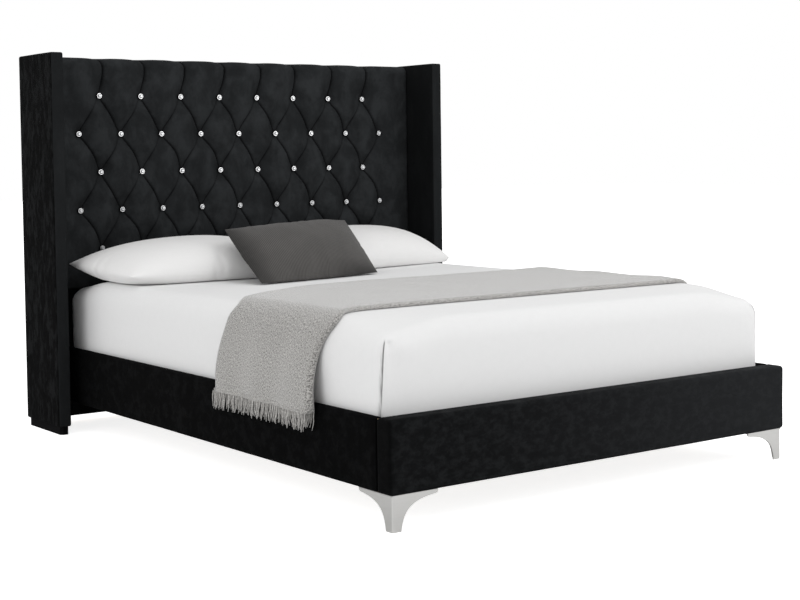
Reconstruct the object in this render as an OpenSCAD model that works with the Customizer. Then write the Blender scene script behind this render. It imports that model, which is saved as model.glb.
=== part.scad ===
// Upholstered winged bed with a diamond-tufted headboard, slatted base and bedding.
// Origin: middle of the footprint, on the floor. X across the bed, +Y towards the headboard.

/* [Mattress] */
// Width of the mattress without its sheet
mattress_w = 1520; // [1340:2:1820]
// Length of the mattress without its sheet
mattress_l = 2028; // [1880:2:2130]
// Thickness of the mattress without its sheet
mattress_h = 298; // [200:2:360]
// Radius of the mattress's long edges
mattress_edge_r = 44; // [20:1:70]
// Radius of the mattress's upright corners
mattress_corner_r = 62; // [40:1:110]
// Thickness of the fitted sheet
sheet_t = 1.7; // [1:0.1:3]
// Gap between the sheet and the rails or headboard
mattress_gap = 2; // [1:0.5:12]

/* [Rails] */
// Height of the clear space below the rails
leg_h = 100; // [60:1:180]
// Height of the rails
rail_h = 205; // [150:1:320]
// Depth that the mattress sits below the rail tops
mattress_sink = 50; // [20:1:80]
// Thickness of the side rails
side_rail_t = 26; // [24:1:40]
// Thickness of the foot rail
foot_rail_t = 68; // [56:1:110]
// Thickness of the side rail boards
rail_board_t = 15; // [12:1:18]
// Thickness of the foot rail boards
foot_board_t = 12; // [9:1:15]
// Padding on the outer face of the rails
rail_pad_t = 8; // [5:0.5:8]
// Padding over the top edge of the rails
rail_top_pad = 5; // [3:0.5:10]
// Thickness of the velvet folded under and behind the rails
velvet_t = 3; // [2:0.5:3]
// Height of the velvet lapped behind the side rails
rail_lap_h = 40; // [20:1:48]
// Radius of the rails' top outer edge
rail_edge_r = 12; // [4:1:16]

/* [Slatted base] */
// Number of slats
slat_count = 14; // [8:1:18]
// Width of one slat
slat_w = 70; // [40:1:90]
// Thickness of the slats
slat_t = 15; // [12:1:20]
// Width of the ledgers that carry the slats
ledger_t = 25; // [18:1:40]
// Height of the ledgers
ledger_h = 40; // [25:1:50]
// Width of the centre beam
beam_w = 45; // [30:1:70]
// Height of the centre beam
beam_h = 40; // [30:1:60]
// Number of legs under the centre beam
centre_leg_count = 3; // [2:1:5]
// Radius of the centre legs
centre_leg_r = 15; // [10:1:22]
// Width of the webbing straps under the slats
strap_w = 25; // [15:1:40]
// Thickness of the webbing straps
strap_t = 1.5; // [1:0.5:3]

/* [Headboard] */
// Top of the headboard above the floor
headboard_top = 1386; // [1100:1:1600]
// Height of the headboard and wings above the floor
foot_h = 30; // [15:1:60]
// Space between a side rail and a wing
wing_gap = 47; // [20:1:90]
// Depth from the crown of the tufting to the headboard's panel
pad_t = 45; // [36:1:80]
// Padding over the top edge of the headboard's frame
pad_top_t = 16; // [8:1:30]
// Padding on the flat lower part of the headboard
lower_pad_t = 10; // [5:1:15]
// Thickness of the headboard's panel
panel_t = 12; // [9:1:18]
// Depth of the battens behind the panel
batten_d = 56; // [40:1:80]
// Width of the battens' faces
batten_w = 40; // [30:1:60]
// Thickness of the cloth-covered back board
back_cover_t = 3; // [2:0.5:6]
// Depth that the back board sits inside the wings
back_set = 4; // [1:0.5:10]

/* [Tufting] */
// Spaces between the buttons of a wide row
tuft_cols = 8; // [4:1:12]
// Number of button rows
tuft_rows = 5; // [3:1:6]
// Height between button rows
tuft_pitch_z = 145; // [110:1:170]
// Height of the headboard above its first button row
tuft_top_drop = 143; // [90:1:200]
// Width of the plain strip outside the wide rows
tuft_margin = 143; // [100:1:220]
// Depth of the tufting at a button
tuft_depth = 28; // [12:1:34]
// Share of that depth left halfway along a pleat
pleat_share = 0.52; // [0.3:0.02:0.9]
// Diameter of the button cups
button_d = 20; // [12:1:28]
// Height of a button cup
button_cup_h = 6; // [4:0.5:10]
// Height of the crystal above its cup
crystal_h = 5; // [3:0.5:9]

/* [Wings] */
// Thickness of the wings
wing_t = 48; // [40:1:80]
// Depth of the wings from front to back
wing_depth = 298; // [220:1:360]
// Height of the wings above the headboard's top
wing_rise = 4; // [0:1:60]
// Thickness of the boards inside the wings
wing_board_t = 24; // [18:1:28]
// Radius of the wings' top corner at the back
wing_back_r = 18; // [5:1:60]
// Radius of the wings' upright edges
wing_edge_r = 7; // [3:1:10]
// Distance of the wing feet from the wings' faces
wing_foot_inset = 10; // [5:1:15]
// Chamfer on the front corner of the wing feet
wing_foot_chamfer = 9; // [2:1:12]

/* [Corner legs] */
// Distance of the leg plates from the rails' faces
leg_inset = 10; // [4:1:20]
// Length of a leg plate along the rail
leg_len = 155; // [110:1:200]
// Thickness of the leg plates
leg_t = 4; // [3:0.5:6]
// Width of a leg plate at the floor
leg_foot_w = 30; // [22:1:45]
// Depth of a leg plate where its slope starts
leg_shoulder = 12; // [8:1:20]
// Width of the screwed flange on top of the leg
leg_flange_w = 31; // [29:1:40]
// Thickness of that flange
leg_flange_t = 3; // [2:0.5:5]
// Amount that the flange stands out past the plates
leg_lip = 1.5; // [0.5:0.5:3]

/* [Brackets and fasteners] */
// Length of a corner bracket's flange
bracket_len = 60; // [50:1:80]
// Height of the corner brackets
bracket_h = 80; // [60:1:90]
// Thickness of the corner brackets
bracket_t = 4; // [3:0.5:6]
// Radius of the bolts in the brackets and wings
bolt_r = 4; // [3:0.5:5]
// Radius of the wood screws
screw_r = 2; // [1.5:0.25:2.5]
// Gap between a fastener's shank and its hole
bolt_fit = 0.2; // [0.1:0.05:0.5]
// Gap between a soft piece and what it touches
soft_gap = 0.3; // [0.3:0.1:1]

/* [Pillows and cushion] */
// Half thickness of a bed pillow above its seam
pillow_rise = 92; // [50:1:120]
// Depth of a bed pillow below its seam
pillow_drop = 60; // [30:1:90]
// Amount that a pillow's sides draw in between its corners
pillow_pull = 24; // [5:1:50]
// Half thickness of the scatter cushion
cushion_rise = 50; // [30:1:70]
// Amount that the scatter cushion's sides draw in
cushion_pull = 12; // [4:1:30]

/* [Throw] */
// Length of the throw between its fringes
throw_l = 1915; // [1790:5:1960]
// Thickness of the folded throw
throw_t = 11; // [6:1:16]
// Drop of the throw at the near side, below the mattress top
throw_drop = 284; // [240:1:300]
// Length of the fringe
fringe_l = 55; // [20:1:60]
// Thickness of the fringe
fringe_t = 4; // [2:0.5:5]

/* [Hidden] */
$fn = 48;
cut = 1;

// Levels above the floor
rail_top_z = leg_h + rail_h;
bed_z = rail_top_z - mattress_sink;
slat_z = bed_z - slat_t;
ledger_z = slat_z - ledger_h;
beam_z = slat_z - beam_h;
sheet_gap = sheet_t + soft_gap;
sheet_top_z = bed_z + mattress_h + sheet_gap;
wing_top_z = headboard_top + wing_rise;
frame_top_z = headboard_top - pad_top_t;

// Half widths from the middle of the bed
sheet_x = mattress_w / 2 + sheet_gap;
rail_in_x = sheet_x + mattress_gap;
rail_out_x = rail_in_x + side_rail_t;
wing_in_x = rail_out_x + wing_gap;
wing_out_x = wing_in_x + wing_t;

// Depths from the foot to the head
sheet_l = mattress_l + 2 * sheet_gap;
bed_l = foot_rail_t + mattress_gap + sheet_l + mattress_gap + pad_t + panel_t + batten_d
  + back_cover_t + back_set;
foot_y = -bed_l / 2;
foot_in_y = foot_y + foot_rail_t;
mattress_y = foot_in_y + mattress_gap + sheet_gap;
crown_y = foot_in_y + mattress_gap + sheet_l + mattress_gap;
panel_y = crown_y + pad_t;
batten_y = panel_y + panel_t;
back_y = batten_y + batten_d;
head_y = bed_l / 2;
lower_y = panel_y - lower_pad_t;
wing_y = head_y - wing_depth;

// Tufting lattice: buttons in rows, each row half a pitch aside from the next
pad_x = wing_in_x - soft_gap;
tuft_pitch_x = 2 * (wing_in_x - tuft_margin) / tuft_cols;
tuft_z = headboard_top - tuft_top_drop;
pad_z = tuft_z - tuft_rows * tuft_pitch_z;
tuft_reach = tuft_pitch_x * tuft_pitch_z / norm([tuft_pitch_x, 2 * tuft_pitch_z]);

function row_count(r) = tuft_cols + r % 2;
function button_x(r, i) = (i - (row_count(r) - 1) / 2) * tuft_pitch_x;
function row_z(r) = tuft_z - r * tuft_pitch_z;
buttons = [for (r = [0 : tuft_rows - 1]) for (i = [0 : row_count(r) - 1]) [button_x(r, i), row_z(r)]];

// Pleats run from button to button, and straight up and down from the outer rows
last_row = tuft_rows - 1;
cross_pleats = [for (r = [0 : tuft_rows - 2]) for (i = [0 : row_count(r) - 1]) for (s = [-0.5, 0.5])
  let (x = button_x(r, i), q = x + s * tuft_pitch_x)
  if (abs(q) < (row_count(r + 1) / 2) * tuft_pitch_x) [[x, row_z(r)], [q, row_z(r + 1)], 0]];
end_pleats = concat(
  [for (i = [0 : row_count(0) - 1]) [[button_x(0, i), tuft_z], [button_x(0, i), headboard_top], 1]],
  [for (i = [0 : row_count(last_row) - 1])
    [[button_x(last_row, i), row_z(last_row)], [button_x(last_row, i), pad_z], 1]]);
pleats = concat(cross_pleats, end_pleats);

function clamp(t, low, high) = min(max(t, low), high);
function mix(a, b, t) = a + (b - a) * t;
function smooth(t) = let (c = clamp(t, 0, 1)) c * c * (3 - 2 * c);

// Depth of one pleat along its run: deepest at the buttons, shallower between them
function pleat_depth(t, open_end) = open_end == 1
  ? mix(1, pleat_share, t)
  : 1 - (1 - pleat_share) * sin(180 * t);
function groove(p, pleat) = let (
    run = pleat[1] - pleat[0],
    t = clamp((p - pleat[0]) * run / (run * run), 0, 1),
    away = norm(p - pleat[0] - t * run))
  away >= tuft_reach ? 0 : pleat_depth(t, pleat[2]) * pow(1 - away / tuft_reach, 2);
function tuft(p) = tuft_depth * max([for (pleat = pleats) groove(p, pleat)]);

// Colours
velvet = [0.06, 0.06, 0.07];
timber = [0.80, 0.66, 0.46];
steel = [0.55, 0.56, 0.58];
satin_metal = [0.78, 0.78, 0.77];
linen = [0.95, 0.95, 0.94];
wool = [0.62, 0.62, 0.61];

// Basic shapes

// Rectangle from the origin whose corners have their own radii, lower left first, anticlockwise
module rounded_plate(w, h, radii) {
  difference() {
    square([w, h]);
    for (c = [[0, 0, radii[0]], [1, 0, radii[1]], [1, 1, radii[2]], [0, 1, radii[3]]])
      translate([c[0] * w, c[1] * h]) mirror([c[0], 0]) mirror([0, c[1]]) corner_waste(c[2]);
  }
}

module corner_waste(r) {
  difference() {
    translate([-cut, -cut]) square(r + cut);
    translate([r, r]) circle(r = r);
  }
}

// Stands a profile drawn in X and Y up in the YZ plane and runs it along X
module along_x(x0, x1) {
  translate([x0, 0, 0]) rotate([90, 0, 90]) linear_extrude(x1 - x0) children();
}

// Stands a profile drawn in X and Y up in the XZ plane and runs it along Y
module along_y(y0, y1) {
  translate([0, y1, 0]) rotate([90, 0, 0]) linear_extrude(y1 - y0) children();
}

module box(low, high) {
  translate(low) cube(high - low);
}

module both_sides() {
  children();
  mirror([1, 0, 0]) children();
}

// Fasteners point along +Z, with the head's bearing face at the origin

module screw(len) {
  translate([0, 0, -screw_head_h]) cylinder(r = screw_head_r, h = screw_head_h, $fn = 24);
  cylinder(r = screw_r, h = len, $fn = 24);
}

module screw_bore(len) {
  translate([0, 0, -cut]) cylinder(r = screw_r + bolt_fit, h = len + cut + bolt_fit, $fn = 24);
}

module bolt(len) {
  translate([0, 0, -bolt_head_h]) cylinder(r = bolt_head_r, h = bolt_head_h, $fn = 6);
  cylinder(r = bolt_r, h = len, $fn = 32);
}

module bolt_bore(len) {
  translate([0, 0, -cut]) cylinder(r = bolt_r + bolt_fit, h = len + cut + bolt_fit, $fn = 32);
}

screw_head_h = 1.6 * screw_r;
screw_head_r = 1.8 * screw_r;
bolt_head_h = 1.3 * bolt_r;
bolt_head_r = 1.8 * bolt_r;
nut_h = 1.6 * bolt_r;

// Headboard

// The padded face as a surface: rows of points from its bottom edge up and over the top roll
pad_step_x = tuft_pitch_x / 4;
pad_step_z = tuft_pitch_z / 4;
pad_half = floor((pad_x - 20) / pad_step_x - 0.5);
pad_roll_r = 34;
roll_steps = 4;
rows_below_roll = floor((headboard_top - pad_roll_r - pad_z) / pad_step_z);
roll_z = pad_z + rows_below_roll * pad_step_z;
roll_h = headboard_top - roll_z;
pad_rows = rows_below_roll + roll_steps + 1;
pad_edge_drop = 7;
pad_edge_w = 30;

function row_xs(row) = let (shift = row % 2 == 0 ? 0 : 0.5)
  concat([-pad_x], [for (i = [-pad_half - 2 * shift : pad_half]) (i + shift) * pad_step_x], [pad_x]);
function edge_drop(x) = pad_edge_drop * pow(clamp(1 - (pad_x - abs(x)) / pad_edge_w, 0, 1), 2);
function face_depth(x, z) = tuft([x, z]) + edge_drop(x);
function face_point(x, row) = row <= rows_below_roll
  ? [x, crown_y + face_depth(x, pad_z + row * pad_step_z), pad_z + row * pad_step_z]
  : let (
      turn = 90 * (row - rows_below_roll) / roll_steps,
      sunk = face_depth(x, roll_z) * mix(1, 0.25, turn / 90),
      r = roll_h - sunk)
    [x, crown_y + roll_h - r * cos(turn), roll_z + r * sin(turn)];
function row_start(row) = floor(row / 2) * (4 * pad_half + 7) + (row % 2) * (2 * pad_half + 3);
function row_size(row) = 2 * pad_half + 3 + row % 2;

module headboard_pad() {
  top = pad_rows;
  low_n = row_size(0);
  rear = row_start(top + 1);
  under = rear + 4;
  points = concat(
    [for (row = [0 : top - 1]) for (x = row_xs(row)) face_point(x, row)],
    [for (x = row_xs(top)) [x, back_y, headboard_top - pad_edge_drop]],
    [for (y = [back_y, panel_y]) for (x = [-pad_x, pad_x]) [x, y, frame_top_z]],
    [for (x = row_xs(0)) [x, panel_y, pad_z]]);
  strips = [for (row = [0 : top - 1])
    let (low = row_start(row), up = row_start(row + 1), wide_up = row % 2 == 0,
      n = min(row_size(row), row_size(row + 1)))
    each concat(
      [for (i = [0 : n - 1]) [low + i, up + i, wide_up ? up + i + 1 : low + i + 1]],
      [for (i = [0 : n - 2]) [wide_up ? low + i : up + i, up + i + 1, low + i + 1]])];
  underside = [for (i = [0 : low_n - 2]) each [[i, i + 1, under + i + 1], [i, under + i + 1, under + i]]];
  panel_side = [for (i = [0 : low_n - 2]) [rear + 2, under + i, under + i + 1]];
  top_back = row_start(top);
  back_edge = [for (i = [0 : row_size(top) - 2]) [rear, top_back + i + 1, top_back + i]];
  left_ring = concat([under], [for (row = [0 : top]) row_start(row)], [rear]);
  right_ring = concat([under + low_n - 1], [for (row = [0 : top]) row_start(row + 1) - 1], [rear + 1]);
  ends = [for (k = [0 : len(left_ring) - 2]) each [
    [rear + 2, left_ring[k + 1], left_ring[k]], [rear + 3, right_ring[k], right_ring[k + 1]]]];
  closing = [[rear, rear + 1, rear - 1], [rear + 2, rear + 3, rear + 1, rear],
    [rear + 2, under + low_n - 1, rear + 3]];
  color(velvet) polyhedron(points = points,
    faces = concat(strips, underside, panel_side, back_edge, ends, closing));
}

module headboard_lower_cover() {
  color(velvet) difference() {
    box([-pad_x, lower_y, foot_h], [pad_x, panel_y, pad_z]);
    fastener_bores();
    beam_screw_bores();
  }
}

module headboard_panel() {
  color(timber) difference() {
    box([-wing_in_x, panel_y, foot_h], [wing_in_x, batten_y, frame_top_z]);
    fastener_bores();
    beam_screw_bores();
  }
}

stile_xs = [-wing_in_x, -wing_in_x / 3 - batten_w / 2, wing_in_x / 3 - batten_w / 2, wing_in_x - batten_w];

module headboard_stiles() {
  color(timber) difference() {
    for (x = stile_xs)
      box([x, batten_y, foot_h + batten_w], [x + batten_w, back_y, frame_top_z - batten_w]);
    wing_bolt_bores();
  }
}

module headboard_rails() {
  color(timber) for (z = [foot_h, frame_top_z - batten_w])
    box([-wing_in_x, batten_y, z], [wing_in_x, back_y, z + batten_w]);
}

module headboard_back_cover() {
  color([0.10, 0.10, 0.10]) along_y(back_y, back_y + back_cover_t)
    translate([-pad_x, foot_h])
      rounded_plate(2 * pad_x, headboard_top - pad_edge_drop - foot_h, [1, 1, 6, 6]);
}

// Buttons

// A cup's back rim rests on the slope of the dimple round it
cup_back_r = button_d / 2 - 3;
dimple_slope = (tuft_depth - tuft([button_x(0, 0) + pad_step_x, tuft_z])) / pad_step_x;
cup_y = crown_y + tuft_depth - cup_back_r * dimple_slope - 3 * soft_gap;

module at_buttons() {
  for (b = buttons)
    translate([b[0], cup_y, b[1]]) rotate([90, 0, 0]) children();
}

module button_cups() {
  lip = 1.2;
  color(satin_metal) at_buttons() rotate_extrude($fn = 32) polygon([
    [0, 0], [cup_back_r, 0], [button_d / 2 - 0.6, 1.6], [button_d / 2, 3.2],
    [button_d / 2 - 0.4, button_cup_h], [button_d / 2 - lip - 0.4, button_cup_h],
    [button_d / 2 - lip - 0.6, button_cup_h - 2], [0, button_cup_h - 2]]);
}

module button_crystals() {
  gem_r = button_d / 2 - 1.2 - 0.8;
  sides = 8;
  color([0.9, 0.93, 0.96]) at_buttons() translate([0, 0, button_cup_h - 2]) {
    cylinder(r = gem_r, h = 2, $fn = sides);
    translate([0, 0, 2]) cylinder(r1 = gem_r, r2 = 0.55 * gem_r, h = crystal_h, $fn = sides);
  }
}

// Wings

wing_pad_t = (wing_t - wing_board_t) / 2;
wing_ply_y = wing_y + wing_pad_t;
wing_ply_top = wing_top_z - wing_pad_t;
wing_ply_back = head_y - velvet_t;

// The right wing, from its inner face outwards
module wing_cover() {
  color(velvet) difference() {
    intersection() {
      along_x(wing_in_x, wing_out_x) translate([wing_y, foot_h])
        rounded_plate(wing_depth, wing_top_z - foot_h, [1, 1, wing_back_r, 6]);
      translate([wing_in_x, wing_y, foot_h]) linear_extrude(wing_top_z)
        rounded_plate(wing_t, wing_depth, [wing_edge_r, wing_edge_r, 4, 4]);
    }
    box([wing_in_x + wing_pad_t, wing_ply_y, foot_h - cut],
      [wing_out_x - wing_pad_t, wing_ply_back, wing_ply_top]);
    wing_bolt_bores();
  }
}

module wing_board() {
  color(timber) difference() {
    box([wing_in_x + wing_pad_t, wing_ply_y, foot_h],
      [wing_out_x - wing_pad_t, wing_ply_back, wing_ply_top]);
    wing_bolt_bores();
  }
}

module wing_right_cover() { wing_cover(); }
module wing_left_cover() { mirror([1, 0, 0]) wing_cover(); }
module wing_right_board() { wing_board(); }
module wing_left_board() { mirror([1, 0, 0]) wing_board(); }

module wing_feet() {
  w = wing_t - 2 * wing_foot_inset;
  d = wing_depth - 2 * wing_foot_inset;
  color([0.05, 0.05, 0.05]) both_sides()
    translate([wing_in_x + wing_foot_inset, wing_y + wing_foot_inset, 0]) linear_extrude(foot_h)
      polygon([[0, 0], [w - wing_foot_chamfer, 0], [w, wing_foot_chamfer], [w, d], [0, d]]);
}

// Bolts that hold the wings to the headboard's outer stiles
wing_bolt_inset = 170;
wing_bolt_zs = [foot_h + wing_bolt_inset, (foot_h + frame_top_z) / 2, frame_top_z - wing_bolt_inset];
wing_bolt_y = batten_y + batten_d / 2;
wing_bolt_len = batten_w + wing_pad_t + wing_board_t - 5;

module at_wing_bolts() {
  both_sides() for (z = wing_bolt_zs)
    translate([wing_in_x - batten_w, wing_bolt_y, z]) rotate([0, 90, 0]) children();
}

module wing_bolts() { color(steel) at_wing_bolts() bolt(wing_bolt_len); }
module wing_bolt_bores() { at_wing_bolts() bolt_bore(wing_bolt_len); }

// Side rails

side_y0 = foot_in_y;
side_y1 = lower_y;

// Section of the right rail's cover, from its inner face outwards and up
module side_cover_section() {
  inner_t = side_rail_t - rail_pad_t;
  difference() {
    rounded_plate(side_rail_t, rail_h, [1, 6, rail_edge_r, 3]);
    translate([inner_t - rail_board_t, velvet_t + 1]) square([rail_board_t, board_h]);
    translate([-cut, rail_lap_h]) square([inner_t - rail_board_t + 2 * cut, rail_h - 2 * rail_lap_h]);
  }
}

board_z = leg_h + velvet_t + 1;
board_h = rail_h - velvet_t - 1 - rail_top_pad;
board_out_x = rail_out_x - rail_pad_t;
board_face_x = board_out_x - rail_board_t;

module side_rail_cover() {
  color(velvet) difference() {
    translate([rail_in_x, 0, leg_h]) along_y(side_y0, side_y1) side_cover_section();
    leg_screw_bores();
  }
}

module side_rail_board() {
  color(timber) difference() {
    box([board_face_x, side_y0, board_z], [board_out_x, side_y1, board_z + board_h]);
    fastener_bores();
    leg_screw_bores();
    ledger_screw_bores();
  }
}

module side_rail_right_cover() { side_rail_cover(); }
module side_rail_left_cover() { mirror([1, 0, 0]) side_rail_cover(); }
module side_rail_right_board() { side_rail_board(); }
module side_rail_left_board() { mirror([1, 0, 0]) side_rail_board(); }

// Foot rail: two boards on blocks, inside a padded cover that goes all round them

core_y0 = foot_y + rail_pad_t + 2;
core_y1 = foot_in_y - velvet_t;
core_x = rail_out_x - rail_pad_t;
block_t = 25;

module foot_rail_cover() {
  color(velvet) difference() {
    intersection() {
      along_x(-rail_out_x, rail_out_x) translate([foot_y, leg_h])
        rounded_plate(foot_rail_t, rail_h, [6, 1, 6, rail_edge_r]);
      translate([-rail_out_x, foot_y, 0]) linear_extrude(rail_top_z)
        rounded_plate(2 * rail_out_x, foot_rail_t, [rail_edge_r, rail_edge_r, 1, 1]);
    }
    box([-core_x, core_y0, board_z], [core_x, core_y1, board_z + board_h]);
    fastener_bores();
    leg_screw_bores();
    beam_screw_bores();
  }
}

module foot_rail_boards() {
  color(timber) difference() {
    for (y = [core_y0, core_y1 - foot_board_t])
      box([-core_x, y, board_z], [core_x, y + foot_board_t, board_z + board_h]);
    fastener_bores();
    beam_screw_bores();
  }
}

module foot_rail_blocks() {
  y0 = core_y0 + foot_board_t;
  y1 = core_y1 - foot_board_t;
  color(timber) difference() {
    union() {
      for (z = [board_z, board_z + board_h - block_t])
        box([-core_x, y0, z], [core_x, y1, z + block_t]);
      for (i = [-2 : 2])
        translate([i * (core_x - block_t / 2) / 2, 0, 0])
          box([-block_t / 2, y0, board_z + block_t], [block_t / 2, y1, board_z + board_h - block_t]);
    }
    leg_screw_bores();
  }
}

// Corner brackets, bolted to both rails or to a rail and the headboard

bracket_z = ledger_z + ledger_h - 5 - bracket_h;
bracket_bolt_zs = [bracket_z + bracket_h / 4, bracket_z + 3 * bracket_h / 4];
bracket_reach = bracket_t + bracket_len / 2;
bracket_x = board_face_x;
bracket_bend_r = 2;

// One angle, its corner at the origin, with flanges along -X and +Y
module angle_bracket() {
  linear_extrude(bracket_h) difference() {
    translate([-bracket_len, 0]) square(bracket_len);
    translate([-bracket_len - cut, bracket_t]) square([bracket_len - bracket_t + cut, bracket_len]);
    mirror([1, 0]) corner_waste(bracket_bend_r);
  }
}

module corner_brackets() {
  color(steel) difference() {
    both_sides() {
      translate([bracket_x, foot_in_y, bracket_z]) angle_bracket();
      translate([bracket_x, lower_y, bracket_z]) mirror([0, 1, 0]) angle_bracket();
    }
    fastener_bores();
  }
}

side_bolt_len = bracket_t + rail_board_t - 3;
foot_bolt_len = bracket_t + velvet_t + foot_board_t + nut_h + 2;
head_bolt_len = bracket_t + lower_pad_t + panel_t + nut_h + 2;

// Every bracket bolt, as a place on the right side with its length: into the rail, foot or head
module at_side_bolts() {
  both_sides() for (z = bracket_bolt_zs) for (y = [foot_in_y + bracket_reach, lower_y - bracket_reach])
    translate([bracket_x - bracket_t, y, z]) rotate([0, 90, 0]) children();
}

module at_foot_bolts() {
  both_sides() for (z = bracket_bolt_zs)
    translate([bracket_x - bracket_reach, foot_in_y + bracket_t, z]) rotate([90, 0, 0]) children();
}

module at_head_bolts() {
  both_sides() for (z = bracket_bolt_zs)
    translate([bracket_x - bracket_reach, lower_y - bracket_t, z]) rotate([-90, 0, 0]) children();
}

module bracket_bolts() {
  color(steel) {
    at_side_bolts() bolt(side_bolt_len);
    at_foot_bolts() bolt(foot_bolt_len);
    at_head_bolts() bolt(head_bolt_len);
  }
}

module fastener_bores() {
  at_side_bolts() bolt_bore(side_bolt_len);
  at_foot_bolts() bolt_bore(foot_bolt_len);
  at_head_bolts() bolt_bore(head_bolt_len);
}

module hex_nut() {
  difference() {
    cylinder(r = bolt_head_r, h = nut_h, $fn = 6);
    translate([0, 0, -cut]) cylinder(r = bolt_r + bolt_fit, h = nut_h + 2 * cut, $fn = 32);
  }
}

module bracket_nuts() {
  color(steel) {
    at_foot_bolts() translate([0, 0, bracket_t + velvet_t + foot_board_t]) hex_nut();
    at_head_bolts() translate([0, 0, bracket_t + lower_pad_t + panel_t]) hex_nut();
  }
}

// Slatted base

ledger_y0 = foot_in_y + bracket_len + 10;
ledger_y1 = lower_y - bracket_len - 10;
ledger_screw_count = 7;
ledger_screw_inset = 60;
ledger_screw_len = ledger_t + rail_board_t - 3;

module slat_ledgers() {
  color(timber) difference() {
    both_sides() box([board_face_x - ledger_t, ledger_y0, ledger_z], [board_face_x, ledger_y1, slat_z]);
    ledger_screw_bores();
  }
}

module at_ledger_screws() {
  both_sides() for (i = [0 : ledger_screw_count - 1])
    let (share = i / (ledger_screw_count - 1))
    let (y = mix(ledger_y0 + ledger_screw_inset, ledger_y1 - ledger_screw_inset, share))
      translate([board_face_x - ledger_t, y, ledger_z + ledger_h / 2]) rotate([0, 90, 0]) children();
}

module ledger_screws() { color(steel) at_ledger_screws() screw(ledger_screw_len); }
module ledger_screw_bores() { at_ledger_screws() screw_bore(ledger_screw_len); }

slat_end_x = board_face_x - 3;
slat_edge_gap = 12;
slat_y0 = ledger_y0 + slat_edge_gap;
slat_y1 = ledger_y1 - slat_edge_gap;
strap_x = 0.8 * slat_end_x;

module slats() {
  r = 3;
  color(timber) for (i = [0 : slat_count - 1])
    along_x(-slat_end_x, slat_end_x)
      translate([mix(slat_y0, slat_y1 - slat_w, i / (slat_count - 1)), slat_z])
        rounded_plate(slat_w, slat_t, [r, r, r, r]);
}

module slat_straps() {
  color([0.2, 0.2, 0.2]) both_sides()
    box([strap_x - strap_w, slat_y0, slat_z - strap_t], [strap_x, slat_y1, slat_z]);
}

beam_bracket_t = 3;
beam_bracket_d = 40;
beam_bracket_ear = 24;
beam_fit = 0.3;
beam_y0 = foot_in_y + beam_bracket_t;
beam_y1 = lower_y - beam_bracket_t;

module centre_beam() {
  color(timber) along_y(beam_y0, beam_y1) translate([-beam_w / 2, beam_z])
    rounded_plate(beam_w, beam_h, [2, 2, 2, 2]);
}

// Steel cradle with two screwed ears, its back face in the XZ plane and the cradle along +Y
module beam_bracket() {
  w = beam_w + 2 * (beam_bracket_t + beam_fit);
  h = beam_h - 4;
  difference() {
    union() {
      along_y(0, beam_bracket_t) translate([-w / 2 - beam_bracket_ear, beam_z - beam_bracket_t])
        rounded_plate(w + 2 * beam_bracket_ear, h, [5, 5, 5, 5]);
      along_y(beam_bracket_t / 2, beam_bracket_d)
        translate([-w / 2, beam_z - beam_bracket_t]) square([w, h]);
    }
    box([-beam_w / 2 - beam_fit, beam_bracket_t, beam_z],
      [beam_w / 2 + beam_fit, beam_bracket_d + cut, slat_z]);
  }
}

module beam_brackets() {
  color(steel) difference() {
    union() {
      translate([0, foot_in_y, 0]) beam_bracket();
      translate([0, lower_y, 0]) mirror([0, 1, 0]) beam_bracket();
    }
    beam_screw_bores();
  }
}

beam_screw_x = beam_w / 2 + beam_bracket_t + beam_bracket_ear / 2;
beam_screw_zs = [beam_z + 5, beam_z + beam_h - 15];
beam_screw_len = beam_bracket_t + velvet_t + foot_board_t - 2;

module at_beam_screws() {
  both_sides() for (z = beam_screw_zs) {
    translate([beam_screw_x, foot_in_y + beam_bracket_t, z]) rotate([90, 0, 0]) children();
    translate([beam_screw_x, lower_y - beam_bracket_t, z]) rotate([-90, 0, 0]) children();
  }
}

module bracket_screws() { color(steel) at_beam_screws() screw(beam_screw_len); }
module beam_screw_bores() { at_beam_screws() screw_bore(beam_screw_len); }

centre_leg_plate = 44;
centre_cap_h = 12;

module at_centre_legs() {
  for (i = [0 : centre_leg_count - 1])
    translate([0, mix(beam_y0, beam_y1, (i + 1) / (centre_leg_count + 1)), 0]) children();
}

module centre_legs() {
  color([0.12, 0.12, 0.12]) at_centre_legs() {
    translate([0, 0, centre_cap_h / 2]) cylinder(r = centre_leg_r, h = beam_z - 3 - centre_cap_h / 2);
    translate([0, 0, beam_z - 3]) linear_extrude(3)
      translate([-centre_leg_plate / 2, -centre_leg_plate / 2])
      rounded_plate(centre_leg_plate, centre_leg_plate, [6, 6, 6, 6]);
  }
}

module centre_leg_caps() {
  color([0.2, 0.2, 0.2]) at_centre_legs() difference() {
    cylinder(r = centre_leg_r + 2.5, h = centre_cap_h);
    translate([0, 0, centre_cap_h / 2]) cylinder(r = centre_leg_r + 0.1, h = centre_cap_h);
  }
}

// Corner legs: an upright angle of plate with a sweeping cut-out on each flange

leg_bend_r = 3;
leg_nose_w = 10;
leg_nose_h = 7;
leg_sweep = [[leg_len - leg_nose_w, leg_shoulder], [leg_len * 0.4, leg_shoulder + 8],
  [leg_foot_w + 8, leg_h * 0.42], [leg_foot_w, leg_h]];
function bezier(c, t) = pow(1 - t, 3) * c[0] + 3 * t * pow(1 - t, 2) * c[1]
  + 3 * t * t * (1 - t) * c[2] + pow(t, 3) * c[3];
leg_outline = concat(
  [[0, 0], [0, leg_h]],
  [for (i = [16 : -1 : 0]) bezier(leg_sweep, i / 16)],
  [for (a = [75 : -15 : 0])
    [leg_len - leg_nose_w * (1 - cos(a)), leg_shoulder - leg_nose_h * (1 - sin(a))]],
  [[leg_len, 0]]);

// One flange as a plate, along +X, its outer face in the XZ plane
module leg_plate() {
  along_y(0, leg_t) translate([0, leg_h]) mirror([0, 1]) polygon(leg_outline);
}

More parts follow.
